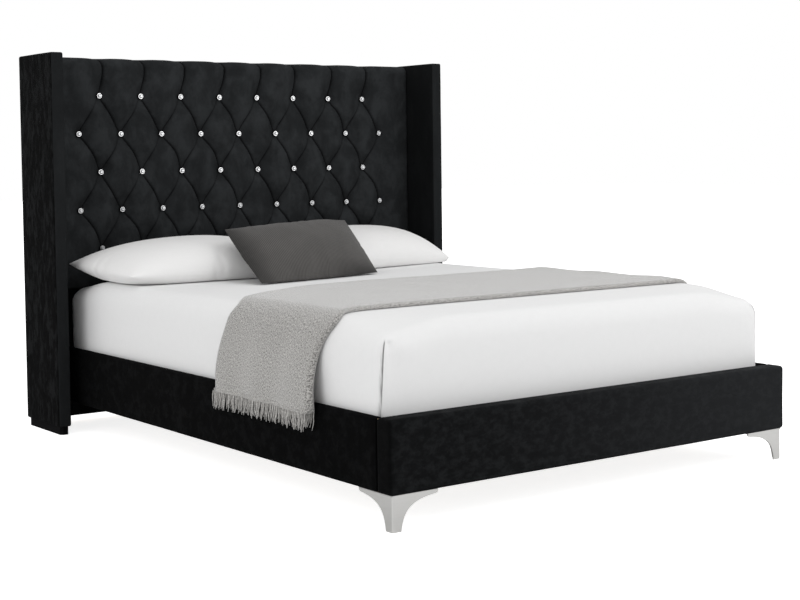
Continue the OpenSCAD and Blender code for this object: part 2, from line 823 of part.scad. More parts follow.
// The leg for the left foot corner, with that corner of the plates at the origin
module corner_leg() {
  intersection() {
    union() {
      leg_plate();
      mirror([1, -1, 0]) leg_plate();
    }
    linear_extrude(leg_h) rounded_plate(leg_len, leg_len, [leg_bend_r, 0.1, 0.1, 0.1]);
  }
  translate([-leg_lip, -leg_lip, leg_h - leg_flange_t]) linear_extrude(leg_flange_t) polygon([
    [0, 0], [leg_len, 0], [leg_len, leg_flange_w], [2 * leg_flange_w, leg_flange_w],
    [0.8 * leg_flange_w, 2 * leg_flange_w], [0.5 * leg_flange_w, leg_len], [0, leg_len]]);
}

leg_corner = [-rail_out_x + leg_inset, foot_y + leg_inset];
leg_screws_at = [[20, 20], [65, 20], [110, 20], [8.5, 100]];
leg_screw_len = leg_flange_t + 24;

module corner_leg_left() {
  color(satin_metal) difference() {
    translate([leg_corner[0], leg_corner[1], 0]) corner_leg();
    leg_screw_bores();
  }
}

module corner_leg_right() {
  mirror([1, 0, 0]) corner_leg_left();
}

module at_leg_screws() {
  both_sides() for (p = leg_screws_at)
    translate([leg_corner[0] + p[0], leg_corner[1] + p[1], leg_h - leg_flange_t]) children();
}

module leg_screws() { color(steel) at_leg_screws() screw(leg_screw_len); }
module leg_screw_bores() { at_leg_screws() screw_bore(leg_screw_len); }

// Mattress and its fitted sheet

mattress_half = [mattress_w / 2, mattress_l / 2];
mattress_mid_y = mattress_y + mattress_l / 2;
mattress_bottom_r = 20;
sheet_hem_h = mattress_bottom_r + 6;
round_steps = 4;
corner_steps = 5;
ring_n = 4 * (corner_steps + 1);

// A level outline with round corners; ring holds its inset from the sides and its height
function ring_points(ring, grow) = let (r = max(mattress_corner_r + grow - ring[0], 1))
  [for (k = [0 : 3]) for (i = [0 : corner_steps])
    let (a = 90 * (k + i / corner_steps), out = mattress_half - [1, 1] * (ring[0] + r - grow))
    [(k % 3 == 0 ? 1 : -1) * out[0] + r * cos(a),
      mattress_mid_y + (k < 2 ? 1 : -1) * out[1] + r * sin(a), ring[1]]];

// Rings round the mattress's top edge, from the side up, and round its bottom edge
function top_rings(grow) = let (r = mattress_edge_r + grow, z = bed_z + mattress_h + grow)
  [for (i = [0 : round_steps]) let (a = 90 * i / round_steps) [r * (1 - cos(a)), z - r * (1 - sin(a))]];
bottom_rings = [for (i = [round_steps - 1 : -1 : 0]) let (a = 90 * i / (round_steps - 1))
  [mattress_bottom_r * (1 - cos(a)), bed_z + mattress_bottom_r * (1 - sin(a))]];

function ring_quads(n, start) = [for (j = [0 : n - 2]) for (i = [0 : ring_n - 1])
  let (low = start + j * ring_n, k = (i + 1) % ring_n)
  [low + i, low + ring_n + i, low + ring_n + k, low + k]];
function ring_fan(start, centre) = [for (i = [0 : ring_n - 1])
  [centre, start + (i + 1) % ring_n, start + i]];
function flipped(faces) = [for (f = faces) [for (i = [len(f) - 1 : -1 : 0]) f[i]]];
function split_quads(quads) = [for (q = quads) each [[q[0], q[1], q[2]], [q[0], q[2], q[3]]]];

module mattress() {
  rings = concat(bottom_rings, top_rings(0));
  n = len(rings);
  color(linen) polyhedron(
    points = concat([for (ring = rings) each ring_points(ring, 0)],
      [[0, mattress_mid_y, bed_z], [0, mattress_mid_y, bed_z + mattress_h]]),
    faces = concat(split_quads(ring_quads(n, 0)), flipped(ring_fan(0, n * ring_n)),
      ring_fan((n - 1) * ring_n, n * ring_n + 1)));
}

// The sheet is a thin shell over the mattress, open below its hem
module fitted_sheet() {
  hem = [[0, bed_z + sheet_hem_h]];
  outer = concat(hem, top_rings(sheet_gap));
  inner = concat(hem, top_rings(soft_gap));
  n = len(outer);
  skin = n * ring_n;
  color(linen) polyhedron(
    points = concat([for (ring = outer) each ring_points(ring, sheet_gap)],
      [for (ring = inner) each ring_points(ring, soft_gap)],
      [for (gap = [sheet_gap, soft_gap]) [0, mattress_mid_y, bed_z + mattress_h + gap]]),
    faces = concat(
      split_quads(ring_quads(n, 0)), ring_fan((n - 1) * ring_n, 2 * skin),
      flipped(split_quads(ring_quads(n, skin))),
      flipped(ring_fan(skin + (n - 1) * ring_n, 2 * skin + 1)),
      split_quads([for (i = [0 : ring_n - 1]) let (k = (i + 1) % ring_n) [i, k, skin + k, skin + i]])));
}

// Stuffed forms: a closed bag whose seam joins four corners, given as front left, front right,
// back right and back left

function bag_corner_mix(c, u, v) = mix(mix(c[0], c[1], u), mix(c[3], c[2], u), v);
function bulge(t) = pow(1 - pow(abs(2 * t - 1), 2.6), 0.55);
function draw_in(t) = 1 - pow(2 * t - 1, 2);
function unit(v) = v / norm(v);

// A point of the seam sheet, its sides drawn in by pull between the corners
function seam_point(c, u, v, pull) = let (
    across = unit(c[1] - c[0]),
    along = unit(c[3] - c[0]))
  bag_corner_mix(c, u, v)
    + across * pull * draw_in(v) * (1 - 2 * u)
    + along * pull * draw_in(u) * (1 - 2 * v);
function bag_normal(c) = unit(cross(c[1] - c[0], c[3] - c[0]));

// side is 1 for the upper skin and -1 for the lower one
function bag_point(c, u, v, pull, rise, side, floor_z) = let (
    p = seam_point(c, u, v, pull) + bag_normal(c) * side * rise * bulge(u) * bulge(v))
  [p[0], p[1], max(p[2], floor_z)];

module stuffed_bag(c, pull, rise, drop, nu, nv, floor_z) {
  function even(i, n) = (1 - cos(180 * i / n)) / 2;
  skin = (nu + 1) * (nv + 1);
  function at(i, j) = j * (nu + 1) + i;
  upper = [for (j = [0 : nv]) for (i = [0 : nu])
    bag_point(c, even(i, nu), even(j, nv), pull, rise, 1, floor_z + bag_rim)];
  lower = [for (j = [0 : nv]) for (i = [0 : nu])
    bag_point(c, even(i, nu), even(j, nv), pull, drop, -1, floor_z) - [0, 0, bag_rim]];
  cells = [for (j = [0 : nv - 1]) for (i = [0 : nu - 1])
    [at(i, j), at(i + 1, j), at(i + 1, j + 1), at(i, j + 1)]];
  rim_path = concat(
    [for (i = [0 : nu - 1]) at(i, 0)], [for (j = [0 : nv - 1]) at(nu, j)],
    [for (i = [nu : -1 : 1]) at(i, nv)], [for (j = [nv : -1 : 1]) at(0, j)]);
  n = len(rim_path);
  polyhedron(points = concat(upper, lower), faces = concat(
    [for (q = cells) each [[q[0], q[2], q[1]], [q[0], q[3], q[2]]]],
    [for (q = cells) let (low = [for (i = q) skin + i]) each
      [[low[0], low[1], low[2]], [low[0], low[2], low[3]]]],
    [for (k = [0 : n - 1]) let (a = rim_path[k], b = rim_path[(k + 1) % n])
      each [[a, b, skin + b], [a, skin + b, skin + a]]]));
}

bag_rim = 0.4;
rest_z = sheet_top_z + soft_gap + bag_rim;
pillow_tail = mattress_y + mattress_l;
half_bed = mattress_w / 2;

left_pillow_corners = [
  [-half_bed - 5, pillow_tail - 535, sheet_top_z + 36], [-42, pillow_tail - 552, sheet_top_z + 38],
  [-34, pillow_tail - 34, sheet_top_z + 86], [-half_bed - 20, pillow_tail - 55, sheet_top_z + 74]];
right_pillow_corners = [
  [48, pillow_tail - 540, sheet_top_z + 38], [half_bed + 24, pillow_tail - 350, sheet_top_z + 30],
  [half_bed + 8, pillow_tail - 30, sheet_top_z + 92], [40, pillow_tail - 34, sheet_top_z + 92]];
cushion_corners = [
  [-385, pillow_tail - 776, sheet_top_z + 5], [198, pillow_tail - 661, sheet_top_z + 5],
  [241, pillow_tail - 381, sheet_top_z + 180], [-363, pillow_tail - 479, sheet_top_z + 180]];

module pillow_left() {
  color(linen) stuffed_bag(left_pillow_corners, pillow_pull, pillow_rise, pillow_drop, 18, 14, rest_z);
}

module pillow_right() {
  color(linen) stuffed_bag(right_pillow_corners, pillow_pull, pillow_rise, pillow_drop, 18, 14, rest_z);
}

module scatter_cushion() {
  color([0.25, 0.25, 0.25])
    stuffed_bag(cushion_corners, cushion_pull, cushion_rise, cushion_rise, 16, 10, rest_z);
}

// Throw: a folded blanket laid across the bed, hanging over both long edges

throw_inner = sheet_x + soft_gap;
throw_z = sheet_top_z + soft_gap;
throw_bend_r = 0.9 * (mattress_edge_r + sheet_gap);
throw_over_rail = rail_out_x + 6 - throw_inner;
throw_clear_z = rail_top_z + 12;
throw_top_len = 2 * (throw_inner - throw_bend_r);
throw_bend_len = throw_bend_r * PI / 2;
throw_side_len = throw_drop - throw_bend_r;
throw_far_len = throw_l - throw_side_len - 2 * throw_bend_len - throw_top_len;
near_tip_z = throw_z - throw_drop - fringe_l;
far_tip_z = throw_z - throw_bend_r - throw_far_len - fringe_l;

// Distance of the hanging cloth outside the mattress, at a height above the floor, where its tip
// hangs lower than the rails; a shorter end hangs straight down beside the mattress
function hang_out(z, tip_z) = tip_z > throw_clear_z ? 0 : mix(throw_over_rail, 0,
  smooth((z - throw_clear_z) / (sheet_top_z - throw_bend_r - throw_clear_z)));

// The inner face of the cloth in X and Z with its outward direction, at a length from the near hem
function throw_path(s) =
  s < throw_side_len
    ? let (z = throw_z - throw_drop + s) [-throw_inner - hang_out(z, near_tip_z), z, -1, 0]
  : s < throw_side_len + throw_bend_len
    ? let (a = 90 * (s - throw_side_len) / throw_bend_len)
      [-throw_inner + throw_bend_r * (1 - cos(a)), throw_z - throw_bend_r * (1 - sin(a)), -cos(a), sin(a)]
  : s < throw_side_len + throw_bend_len + throw_top_len
    ? [-throw_inner + throw_bend_r + (s - throw_side_len - throw_bend_len), throw_z, 0, 1]
  : s < throw_l - throw_far_len
    ? let (a = 90 * (throw_l - throw_far_len - s) / throw_bend_len)
      [throw_inner - throw_bend_r * (1 - cos(a)), throw_z - throw_bend_r * (1 - sin(a)), cos(a), sin(a)]
    : let (z = throw_z - throw_bend_r - (s - (throw_l - throw_far_len)))
      [throw_inner + hang_out(z, far_tip_z), z, 1, 0];

// Foot and head edges of the cloth along its length, as distances from the mattress's foot end.
// Both edges swing towards the foot where the cloth turns over the mattress's near edge.
throw_turn_s = throw_side_len + throw_bend_len / 2;
throw_foot_edge = 312;
throw_foot_swing = 85;
throw_swing_run = 70;
throw_hem_head = 868;
throw_turn_head = 785;
throw_top_head = 1040;
throw_head_run = 600;
throw_head_round = 15;
function soft_max(a, b, k) = (a + b + sqrt(pow(a - b, 2) + k * k)) / 2;
function throw_foot_y(s) = mattress_y + throw_foot_edge
  - throw_foot_swing / (1 + pow((s - throw_turn_s) / throw_swing_run, 2));
function throw_head_y(s) = let (t = min((s - throw_turn_s) / throw_head_run, 1))
  mattress_y + soft_max(mix(throw_hem_head, throw_turn_head, s / throw_turn_s),
    mix(throw_turn_head, throw_top_head, 1 - pow(1 - t, 2)), throw_head_round);

// Soft waves that stand out from the bed, strongest at the hems
wave_h = 9;
wave_count = 2.5;
wave_run = 330;
function hem_share(s) = max(smooth(1 - s / wave_run), smooth(1 - (throw_l - s) / wave_run));
function throw_wave(s, v) = wave_h * hem_share(s) * (0.5 - 0.5 * cos(360 * (wave_count * v + 0.15)));

// Extra thickness where the fold along the foot edge stands open, most at the near hem
fold_open = 18;
function fold_room(s, v) = fold_open * pow(1 - v, 3) * smooth(1 - s / wave_run);

function throw_point(s, v, out) = let (
    p = throw_path(s),
    lift = out + throw_wave(s, v))
  [p[0] + p[2] * lift, mix(throw_foot_y(s), throw_head_y(s), v), p[1] + p[3] * lift];

throw_stations = concat(
  [for (i = [0 : 6]) throw_side_len * i / 7],
  [for (i = [0 : 3]) throw_side_len + throw_bend_len * i / 4],
  [for (i = [0 : 11]) throw_side_len + throw_bend_len + throw_top_len * i / 12],
  [for (i = [0 : 3]) throw_side_len + throw_bend_len + throw_top_len + throw_bend_len * i / 4],
  [for (i = [0 : 3]) throw_l - throw_far_len + throw_far_len * i / 3]);
throw_cols = 13;

// A slab that follows the throw through a list of lengths, with its fold open by a share
module cloth_slab(stations, in, out, open = 0) {
  n = len(stations);
  m = throw_cols + 1;
  skin = n * m;
  function at(i, j) = i * m + j;
  outer = [for (s = stations) for (j = [0 : throw_cols]) let (v = j / throw_cols)
    throw_point(s, v, out + open * fold_room(s, v))];
  inner = [for (s = stations) for (j = [0 : throw_cols]) throw_point(s, j / throw_cols, in)];
  cells = [for (i = [0 : n - 2]) for (j = [0 : throw_cols - 1])
    [at(i, j), at(i + 1, j), at(i + 1, j + 1), at(i, j + 1)]];
  rim_path = concat(
    [for (i = [0 : n - 2]) at(i, 0)], [for (j = [0 : throw_cols - 1]) at(n - 1, j)],
    [for (i = [n - 1 : -1 : 1]) at(i, throw_cols)], [for (j = [throw_cols : -1 : 1]) at(0, j)]);
  k = len(rim_path);
  polyhedron(points = concat(outer, inner), faces = concat(
    [for (q = cells) each [[q[0], q[2], q[1]], [q[0], q[3], q[2]]]],
    [for (q = cells) let (low = [for (i = q) skin + i]) each
      [[low[0], low[1], low[2]], [low[0], low[2], low[3]]]],
    [for (e = [0 : k - 1]) let (a = rim_path[e], b = rim_path[(e + 1) % k])
      each [[a, b, skin + b], [a, skin + b, skin + a]]]));
}

module throw() {
  color(wool) cloth_slab(throw_stations, 0, throw_t, 1);
}

module throw_fringe() {
  mid = (throw_t - fringe_t) / 2;
  color(wool) {
    cloth_slab([-fringe_l, -fringe_l / 2, 0], mid, mid + fringe_t);
    cloth_slab([throw_l, throw_l + fringe_l / 2, throw_l + fringe_l], mid, mid + fringe_t);
  }
}

headboard_pad();
headboard_lower_cover();
headboard_panel();
headboard_stiles();
headboard_rails();
headboard_back_cover();
button_cups();
button_crystals();
wing_left_cover();
wing_right_cover();
wing_left_board();
wing_right_board();
wing_feet();
wing_bolts();
side_rail_left_board();
side_rail_right_board();
side_rail_left_cover();
side_rail_right_cover();
foot_rail_boards();
foot_rail_blocks();
foot_rail_cover();
slat_ledgers();
ledger_screws();
centre_beam();
beam_brackets();
bracket_screws();
centre_legs();
centre_leg_caps();
slats();
slat_straps();
corner_leg_left();
corner_leg_right();
leg_screws();
corner_brackets();
bracket_bolts();
bracket_nuts();
mattress();
fitted_sheet();
pillow_left();
pillow_right();
scatter_cushion();
throw();
throw_fringe();
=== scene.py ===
import random
from math import asin, atan2, copysign, cos, exp, hypot, pi, sin, sqrt

import bmesh
import bpy
from mathutils import Matrix, Vector, noise


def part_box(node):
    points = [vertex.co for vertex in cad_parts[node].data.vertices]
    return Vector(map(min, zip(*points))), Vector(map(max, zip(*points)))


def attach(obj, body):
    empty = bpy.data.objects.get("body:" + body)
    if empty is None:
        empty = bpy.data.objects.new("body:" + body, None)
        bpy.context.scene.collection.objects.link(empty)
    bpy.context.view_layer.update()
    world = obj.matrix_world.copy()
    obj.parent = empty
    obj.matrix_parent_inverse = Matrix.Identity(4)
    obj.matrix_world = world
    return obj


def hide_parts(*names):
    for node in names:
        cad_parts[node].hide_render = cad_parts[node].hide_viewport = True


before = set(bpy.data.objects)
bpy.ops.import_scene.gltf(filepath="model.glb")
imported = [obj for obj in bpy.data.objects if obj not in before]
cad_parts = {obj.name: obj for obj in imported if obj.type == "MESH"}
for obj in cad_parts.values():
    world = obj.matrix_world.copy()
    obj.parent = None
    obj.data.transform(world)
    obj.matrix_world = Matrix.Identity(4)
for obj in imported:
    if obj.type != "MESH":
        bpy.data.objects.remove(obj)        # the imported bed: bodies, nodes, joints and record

scene = bpy.context.scene
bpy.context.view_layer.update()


def addObject(name, data):
    obj = bpy.data.objects.new(name, data)
    scene.collection.objects.link(obj)
    return obj


# The camera stands to the left of the foot, at about the height of the headboard's middle
cameraSet = dict(
    place=(-3.1166, -4.3530, 1.0087), yaw=0.6308, pitch=-0.0488, roll=-0.0128, lens=68.54,
    shiftY=-0.09,
)


def makeCamera():
    yaw, pitch, roll = cameraSet["yaw"], cameraSet["pitch"], cameraSet["roll"]
    ahead = Vector((sin(yaw) * cos(pitch), cos(yaw) * cos(pitch), sin(pitch)))
    level = Vector((cos(yaw), -sin(yaw), 0))
    upright = level.cross(ahead)
    right = level * cos(roll) + upright * sin(roll)
    up = upright * cos(roll) - level * sin(roll)
    data = bpy.data.cameras.new("viewCamera")
    data.lens = cameraSet["lens"]
    data.sensor_width = 36
    data.shift_y = cameraSet["shiftY"]
    data.clip_end = 60
    camera = addObject("viewCamera", data)
    turn = Matrix((right, up, -ahead)).transposed().to_4x4()
    camera.matrix_world = Matrix.Translation(cameraSet["place"]) @ turn
    scene.camera = camera


lampSet = {
    "softBox": dict(place=(1.2, -3.1, 4.0), aim=(0, -0.5, 0.4), size=3.4, power=38),
    "frontBox": dict(place=(3.0, -4.6, 1.9), aim=(0.3, -0.6, 0.5), size=2.4, power=29),
    "sideBox": dict(place=(-4.6, -1.0, 1.9), aim=(-0.8, -0.8, 0.4), size=2.6, power=30),
}
worldSet = dict(fill=0.81, seen=1.0)


def makeLamps():
    for name, lamp in lampSet.items():
        data = bpy.data.lights.new(name, "AREA")
        data.shape = "SQUARE"
        data.size = lamp["size"]
        data.energy = lamp["power"]
        obj = addObject(name, data)
        obj.location = lamp["place"]
        aim = Vector(lamp["aim"]) - Vector(lamp["place"])
        obj.rotation_euler = aim.to_track_quat("-Z", "Y").to_euler()


def sumNode(tree, operation, *terms):
    made = tree.nodes.new("ShaderNodeMath")
    made.operation = operation
    for socket, term in zip(made.inputs, terms):
        if isinstance(term, float):
            socket.default_value = term
        else:
            tree.links.new(term, socket)
    return made.outputs[0]


def makeWorld():
    # the camera and what mirrors or glass show see pure white, and a little less lights the bed
    world = bpy.data.worlds.new("studio")
    scene.world = world
    world.use_nodes = True
    tree = world.node_tree
    back = tree.nodes["Background"]
    back.inputs["Color"].default_value = (1, 1, 1, 1)
    rays = tree.nodes.new("ShaderNodeLightPath").outputs
    seen = sumNode(tree, "MAXIMUM", rays["Is Camera Ray"], rays["Is Transmission Ray"])
    seen = sumNode(tree, "MAXIMUM", seen, rays["Is Glossy Ray"])
    level = sumNode(tree, "MULTIPLY_ADD", seen, worldSet["seen"] - worldSet["fill"], worldSet["fill"])
    tree.links.new(level, back.inputs["Strength"])
    scene.view_settings.view_transform = "Standard"


# Shader sums are written as plain expressions on Value
class Value:
    def __init__(self, finish, socket):
        self.finish = finish
        self.socket = socket

    def maths(self, operation, first, second=0.0):
        return self.finish.node("ShaderNodeMath", {"operation": operation}, {0: first, 1: second})

    def __add__(self, other):
        return self.maths("ADD", self, other)

    def __sub__(self, other):
        return self.maths("SUBTRACT", self, other)

    def __rsub__(self, other):
        return self.maths("SUBTRACT", other, self)

    def __mul__(self, other):
        return self.maths("MULTIPLY", self, other)

    __radd__ = __add__
    __rmul__ = __mul__

    def sine(self):
        return self.maths("SINE", self)

    def size(self):
        return self.maths("ABSOLUTE", self)

    def most(self, other):
        return self.maths("MAXIMUM", self, other)

    def ramp(self, low, high):
        sockets = {"Value": self, "From Min": low, "From Max": high}
        return self.finish.node("ShaderNodeMapRange", {"interpolation_type": "SMOOTHSTEP"}, sockets)


class Finish:
    def __init__(self, name, **fixed):
        self.material = bpy.data.materials.new(name)
        self.material.use_nodes = True
        self.tree = self.material.node_tree
        self.shader = self.tree.nodes["Principled BSDF"]
        for key, amount in fixed.items():
            self.shader.inputs[shaderNames[key]].default_value = amount

    def node(self, kind, settings, sockets, output=0):
        made = self.tree.nodes.new(kind)
        for key, setting in settings.items():
            setattr(made, key, setting)
        for key, amount in sockets.items():
            self.fill(made.inputs[key], amount)
        return Value(self, made.outputs[output])

    def fill(self, socket, amount):
        if isinstance(amount, Value):
            self.tree.links.new(amount.socket, socket)
        elif socket.type == "RGBA":
            socket.default_value = (*amount[:3], 1.0)
        else:
            socket.default_value = amount

    def colour(self, share, first, second):
        return self.node("ShaderNodeMix", {"data_type": "RGBA"}, {0: share, 6: first, 7: second}, 2)

    def place(self, source="Object"):
        return self.node("ShaderNodeTexCoord", {}, {}, source)

    def attribute(self, name):
        return self.node("ShaderNodeAttribute", {"attribute_name": name}, {}, "Fac")

    def scaled(self, place, stretch):
        return self.node("ShaderNodeMapping", {}, {"Vector": place, "Scale": stretch})

    def axis(self, place, name):
        return self.node("ShaderNodeSeparateXYZ", {}, {"Vector": place}, name)

    def cloud(self, place, scale, detail=2.0, roughness=0.5, distortion=0.0):
        sockets = {"Vector": place, "Scale": scale, "Detail": detail, "Roughness": roughness,
                   "Distortion": distortion}
        return self.node("ShaderNodeTexNoise", {}, sockets, "Fac")

    def bump(self, height, depth, strength):
        sockets = {"Height": height, "Distance": depth, "Strength": strength}
        return self.node("ShaderNodeBump", {}, sockets)

    def into(self, **ends):
        for key, amount in ends.items():
            self.fill(self.shader.inputs[shaderNames[key]], amount)
        return self.material


shaderNames = dict(
    base="Base Color", rough="Roughness", metal="Metallic", normal="Normal",
    specular="Specular IOR Level", sheen="Sheen Weight", sheenRough="Sheen Roughness",
    sheenTint="Sheen Tint", coat="Coat Weight", coatRough="Coat Roughness", ior="IOR",
)

# Velvet: each piece has its own size of crushed patches; its depth of colour is painted light and
# shade, with darker copies on the wing outer and inner faces and the side rails and paler ones on the
# faces toward the lamps
velvetSet = {
    "headboard": dict(dark=0.0150, light=0.0310, patch=(12, 12, 9), share=(0.36, 0.68), sheen=0.02),
    "wingOuter": dict(dark=0.0004, light=0.0088, patch=(22, 40, 17), share=(0.44, 0.64), sheen=0.008),
    "wingFront": dict(dark=0.0125, light=0.0165, patch=(14, 14, 6), share=(0.35, 0.70), sheen=0.02),
    "wingInner": dict(dark=0.0060, light=0.0085, patch=(14, 14, 6), share=(0.35, 0.70), sheen=0.01),
    "sideRail": dict(dark=0.0010, light=0.0032, patch=(30, 24, 28), share=(0.44, 0.64), sheen=0.004),
    "footRail": dict(dark=0.0044, light=0.0122, patch=(30, 26, 44), share=(0.40, 0.66), sheen=0.01),
    "plain": dict(dark=0.0070, light=0.0110, patch=(8, 8, 8), share=(0.35, 0.70), sheen=0.01),
}
velvetTint = (0.93, 1.0, 1.06)
# painted light and painted shade tones for the foot rail's ends and corners
railPaintedLightShade = dict(pale=(0.030, 0.0315, 0.034), shade=(0.0015, 0.0016, 0.0017))


def toned(tone, amount):
    return tuple(amount * part for part in tone)


def velvetFinish(kind):
    look = velvetSet[kind]
    finish = Finish("velvet." + kind, rough=0.92, specular=0.05, sheen=look["sheen"], sheenRough=0.35,
                    sheenTint=(0.8, 0.85, 0.9, 1.0))
    place = finish.place()
    patches = finish.cloud(finish.scaled(place, look["patch"]), 1.0, 5.0, 0.66, 0.25)
    brushed = patches.ramp(*look["share"])
    fine = finish.cloud(finish.scaled(place, (60, 60, 42)), 1.0, 3.0, 0.6)
    pile = finish.cloud(place, 1400.0, 1.0)
    share = brushed * 0.75 + fine * 0.4 - 0.1
    base = finish.colour(share, toned(velvetTint, look["dark"]), toned(velvetTint, look["light"]))
    if kind == "footRail":
        # painted light makes it paler toward the right end, painted shade darkens the left end and
        # rounds both corners
        across = finish.axis(place, "X")
        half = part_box("foot_rail_cover")[1].x
        base = finish.colour(across.ramp(-0.7, 0.9) * 0.45, base, railPaintedLightShade["pale"])
        base = finish.colour(across.ramp(-0.72, -0.86) * 0.75, base, railPaintedLightShade["shade"])
        corner = across.size().ramp(half - 0.010, half - 0.001)
        base = finish.colour(corner * 0.8, base, railPaintedLightShade["shade"])
    if kind == "headboard":
        # painted shade in the pleat slits and the hollows round the buttons, read from the mesh
        # attribute
        fold = finish.attribute("paintedCreaseShade")
        base = finish.colour(fold, base, (0.0004, 0.0004, 0.0005))
    rough = 0.98 - share * 0.14
    normal = finish.bump(pile * 0.3 + fine * 0.5 + brushed * 0.6, 0.0012, 0.5)
    return finish.into(base=base, rough=rough, normal=normal)


def woodFinish(name, along, pale, deep, tight):
    finish = Finish(name, specular=0.35)
    stretch = [38.0 * tight] * 3
    stretch["xyz".index(along)] = 1.6
    place = finish.scaled(finish.place(), tuple(stretch))
    rings = finish.cloud(place, 1.0, 5.0, 0.6, 0.8)
    pores = finish.cloud(finish.scaled(place, (6, 6, 6)), 1.0, 2.0)
    grain = rings.ramp(0.34, 0.68)
    base = finish.colour(grain, pale, deep)
    base = finish.colour(pores.ramp(0.62, 0.78) * 0.35, base, toned(deep, 0.55))
    rough = 0.52 + grain * 0.16
    return finish.into(base=base, rough=rough, normal=finish.bump(rings + pores * 0.4, 0.0006, 0.5))


def metalFinish(name, tone, roughness, brush, depth, shadedFlank=None):
    # a shaded flank is the distance of the outer side faces from the middle, and their share of the
    # tone: painted shade on the side faces
    finish = Finish(name, metal=1.0)
    place = finish.scaled(finish.place(), brush)
    streaks = finish.cloud(place, 1.0, 3.0, 0.6)
    marks = finish.cloud(finish.place(), 26.0, 4.0, 0.6)
    base = finish.colour(streaks, toned(tone, 0.92), tone)
    if shadedFlank:
        outer, shadeShare = shadedFlank
        side = finish.axis(finish.place(), "X").size()
        base = finish.colour(side.ramp(outer - 0.0016, outer - 0.0006), base, toned(tone, shadeShare))
    rough = roughness + streaks * 0.10 + marks * 0.08 - 0.08
    return finish.into(base=base, rough=rough, normal=finish.bump(streaks, depth, 0.4))


def plasticFinish(name, tone, roughness, gloss=0.4):
    finish = Finish(name, specular=gloss)
    grain = finish.cloud(finish.place(), 900.0, 2.0)
    dust = finish.cloud(finish.place(), 12.0, 4.0, 0.6)
    base = finish.colour(dust.ramp(0.45, 0.8) * 0.4, tone, [1.5 * part + 0.002 for part in tone])
    rough = roughness + dust * 0.2 - 0.05
    return finish.into(base=base, rough=rough, normal=finish.bump(grain, 0.0002, 0.5))


def weaveFinish(name, tone, threads, depth, slub=0.25, sheen=0.1, source="Object", seam=None):
    finish = Finish(name, specular=0.2, sheen=sheen, sheenRough=0.5)
    place = finish.place(source)
    warp = (finish.axis(place, "X") * threads * 2 * pi).sine()
    weft = (finish.axis(place, "Y") * threads * 2 * pi).sine()
    cloth = warp * weft * 0.5 + 0.5
    patches = finish.cloud(place, threads * 0.045, 4.0, 0.65)
    base = finish.colour(patches.ramp(0.3, 0.75) * slub, tone, toned(tone, 0.72))
    base = finish.colour(cloth * 0.16, base, toned(tone, 0.6))
    # painted shade along the slit of a sewn corner, from the seam attribute
    if seam:
        base = finish.colour(finish.attribute("seam"), base, seam)
    return finish.into(base=base, rough=0.8 + patches * 0.15, normal=finish.bump(cloth, depth, 0.6))


def crystalFinish():
    finish = Finish("crystal", ior=1.62, specular=0.9, coat=1.0, coatRough=0.02)
    place = finish.place()
    # painted reflection: pale and grey patches in the base colour stand in for the crystals' sparkle
    paintedSparkle = finish.cloud(place, 230.0, 2.0, 0.6)
    base = finish.colour(paintedSparkle.ramp(0.46, 0.54), (0.50, 0.51, 0.53), (0.97, 0.98, 1.0))
    return finish.into(base=base, metal=0.25, rough=0.10 + paintedSparkle * 0.15)


# Wooden nodes by the axis along which their grain runs, and nodes of zinc-plated steel
grainSet = {
    "pine": {"x": ("foot_rail_boards", "foot_rail_blocks", "headboard_rails", "slats"),
             "y": ("side_rail_left_board", "side_rail_right_board", "slat_ledgers", "centre_beam"),
             "z": ("headboard_stiles",)},
    "plywood": {"x": ("headboard_panel",), "y": ("wing_left_board", "wing_right_board")},
}
woodSet = {
    "pine": dict(pale=(0.72, 0.55, 0.34), deep=(0.50, 0.33, 0.17), tight=1.0),
    "plywood": dict(pale=(0.70, 0.56, 0.38), deep=(0.55, 0.41, 0.25), tight=0.8),
}
zincNodes = ("wing_bolts", "ledger_screws", "beam_brackets", "bracket_screws", "leg_screws",
             "corner_brackets", "bracket_bolts", "bracket_nuts")


def dressNodes():
    finishes = {}
    for kind, axes in grainSet.items():
        for axis, names in axes.items():
            wood = woodFinish(f"{kind}.{axis}", axis, **woodSet[kind])
            finishes.update(dict.fromkeys(names, wood))
    zinc = metalFinish("zincSteel", (0.62, 0.64, 0.66), 0.34, (90, 90, 90), 0.0002)
    # painted shade on the side plates of the corner legs
    shadedFlank = (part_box("corner_leg_right")[1].x, 0.84)
    satin = metalFinish("satinMetal", (0.69, 0.685, 0.67), 0.30, (14, 14, 520), 0.00015, shadedFlank)
    finishes.update(dict.fromkeys(zincNodes, zinc))
    finishes.update({
        "corner_leg_left": satin,
        "corner_leg_right": satin,
        "button_cups": metalFinish("buttonMetal", (0.80, 0.80, 0.80), 0.14, (300, 300, 300), 0.0001),
        "button_crystals": crystalFinish(),
        "wing_feet": plasticFinish("blackFoot", (0.0035, 0.0035, 0.004), 0.8, 0.06),
        "centre_leg_caps": plasticFinish("floorCap", (0.03, 0.03, 0.03), 0.5),
        "centre_legs": metalFinish("blackSteel", (0.035, 0.035, 0.036), 0.42, (200, 200, 200), 0.0002),
        "slat_straps": weaveFinish("webbing", (0.05, 0.05, 0.055), 700, 0.0004),
        "headboard_back_cover": weaveFinish("backCloth", (0.014, 0.014, 0.015), 900, 0.0002),
    })
    for name, finish in finishes.items():
        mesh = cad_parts[name].data
        mesh.materials.clear()
        mesh.materials.append(finish)
    print("frame nodes dressed:", len(finishes))


def addPiece(name, mesh, body, slotName, node, *finishes):
    # turns a bmesh into a finished piece that rides on a body and stands for a node
    data = bpy.data.meshes.new(name)
    mesh.to_mesh(data)
    mesh.free()
    data.shade_smooth()
    for finish in finishes:
        data.materials.append(finish)
    obj = addObject(name, data)
    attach(obj, body)
    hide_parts(node)
    return obj


def clamp(amount, low=0.0, high=1.0):
    return min(max(amount, low), high)


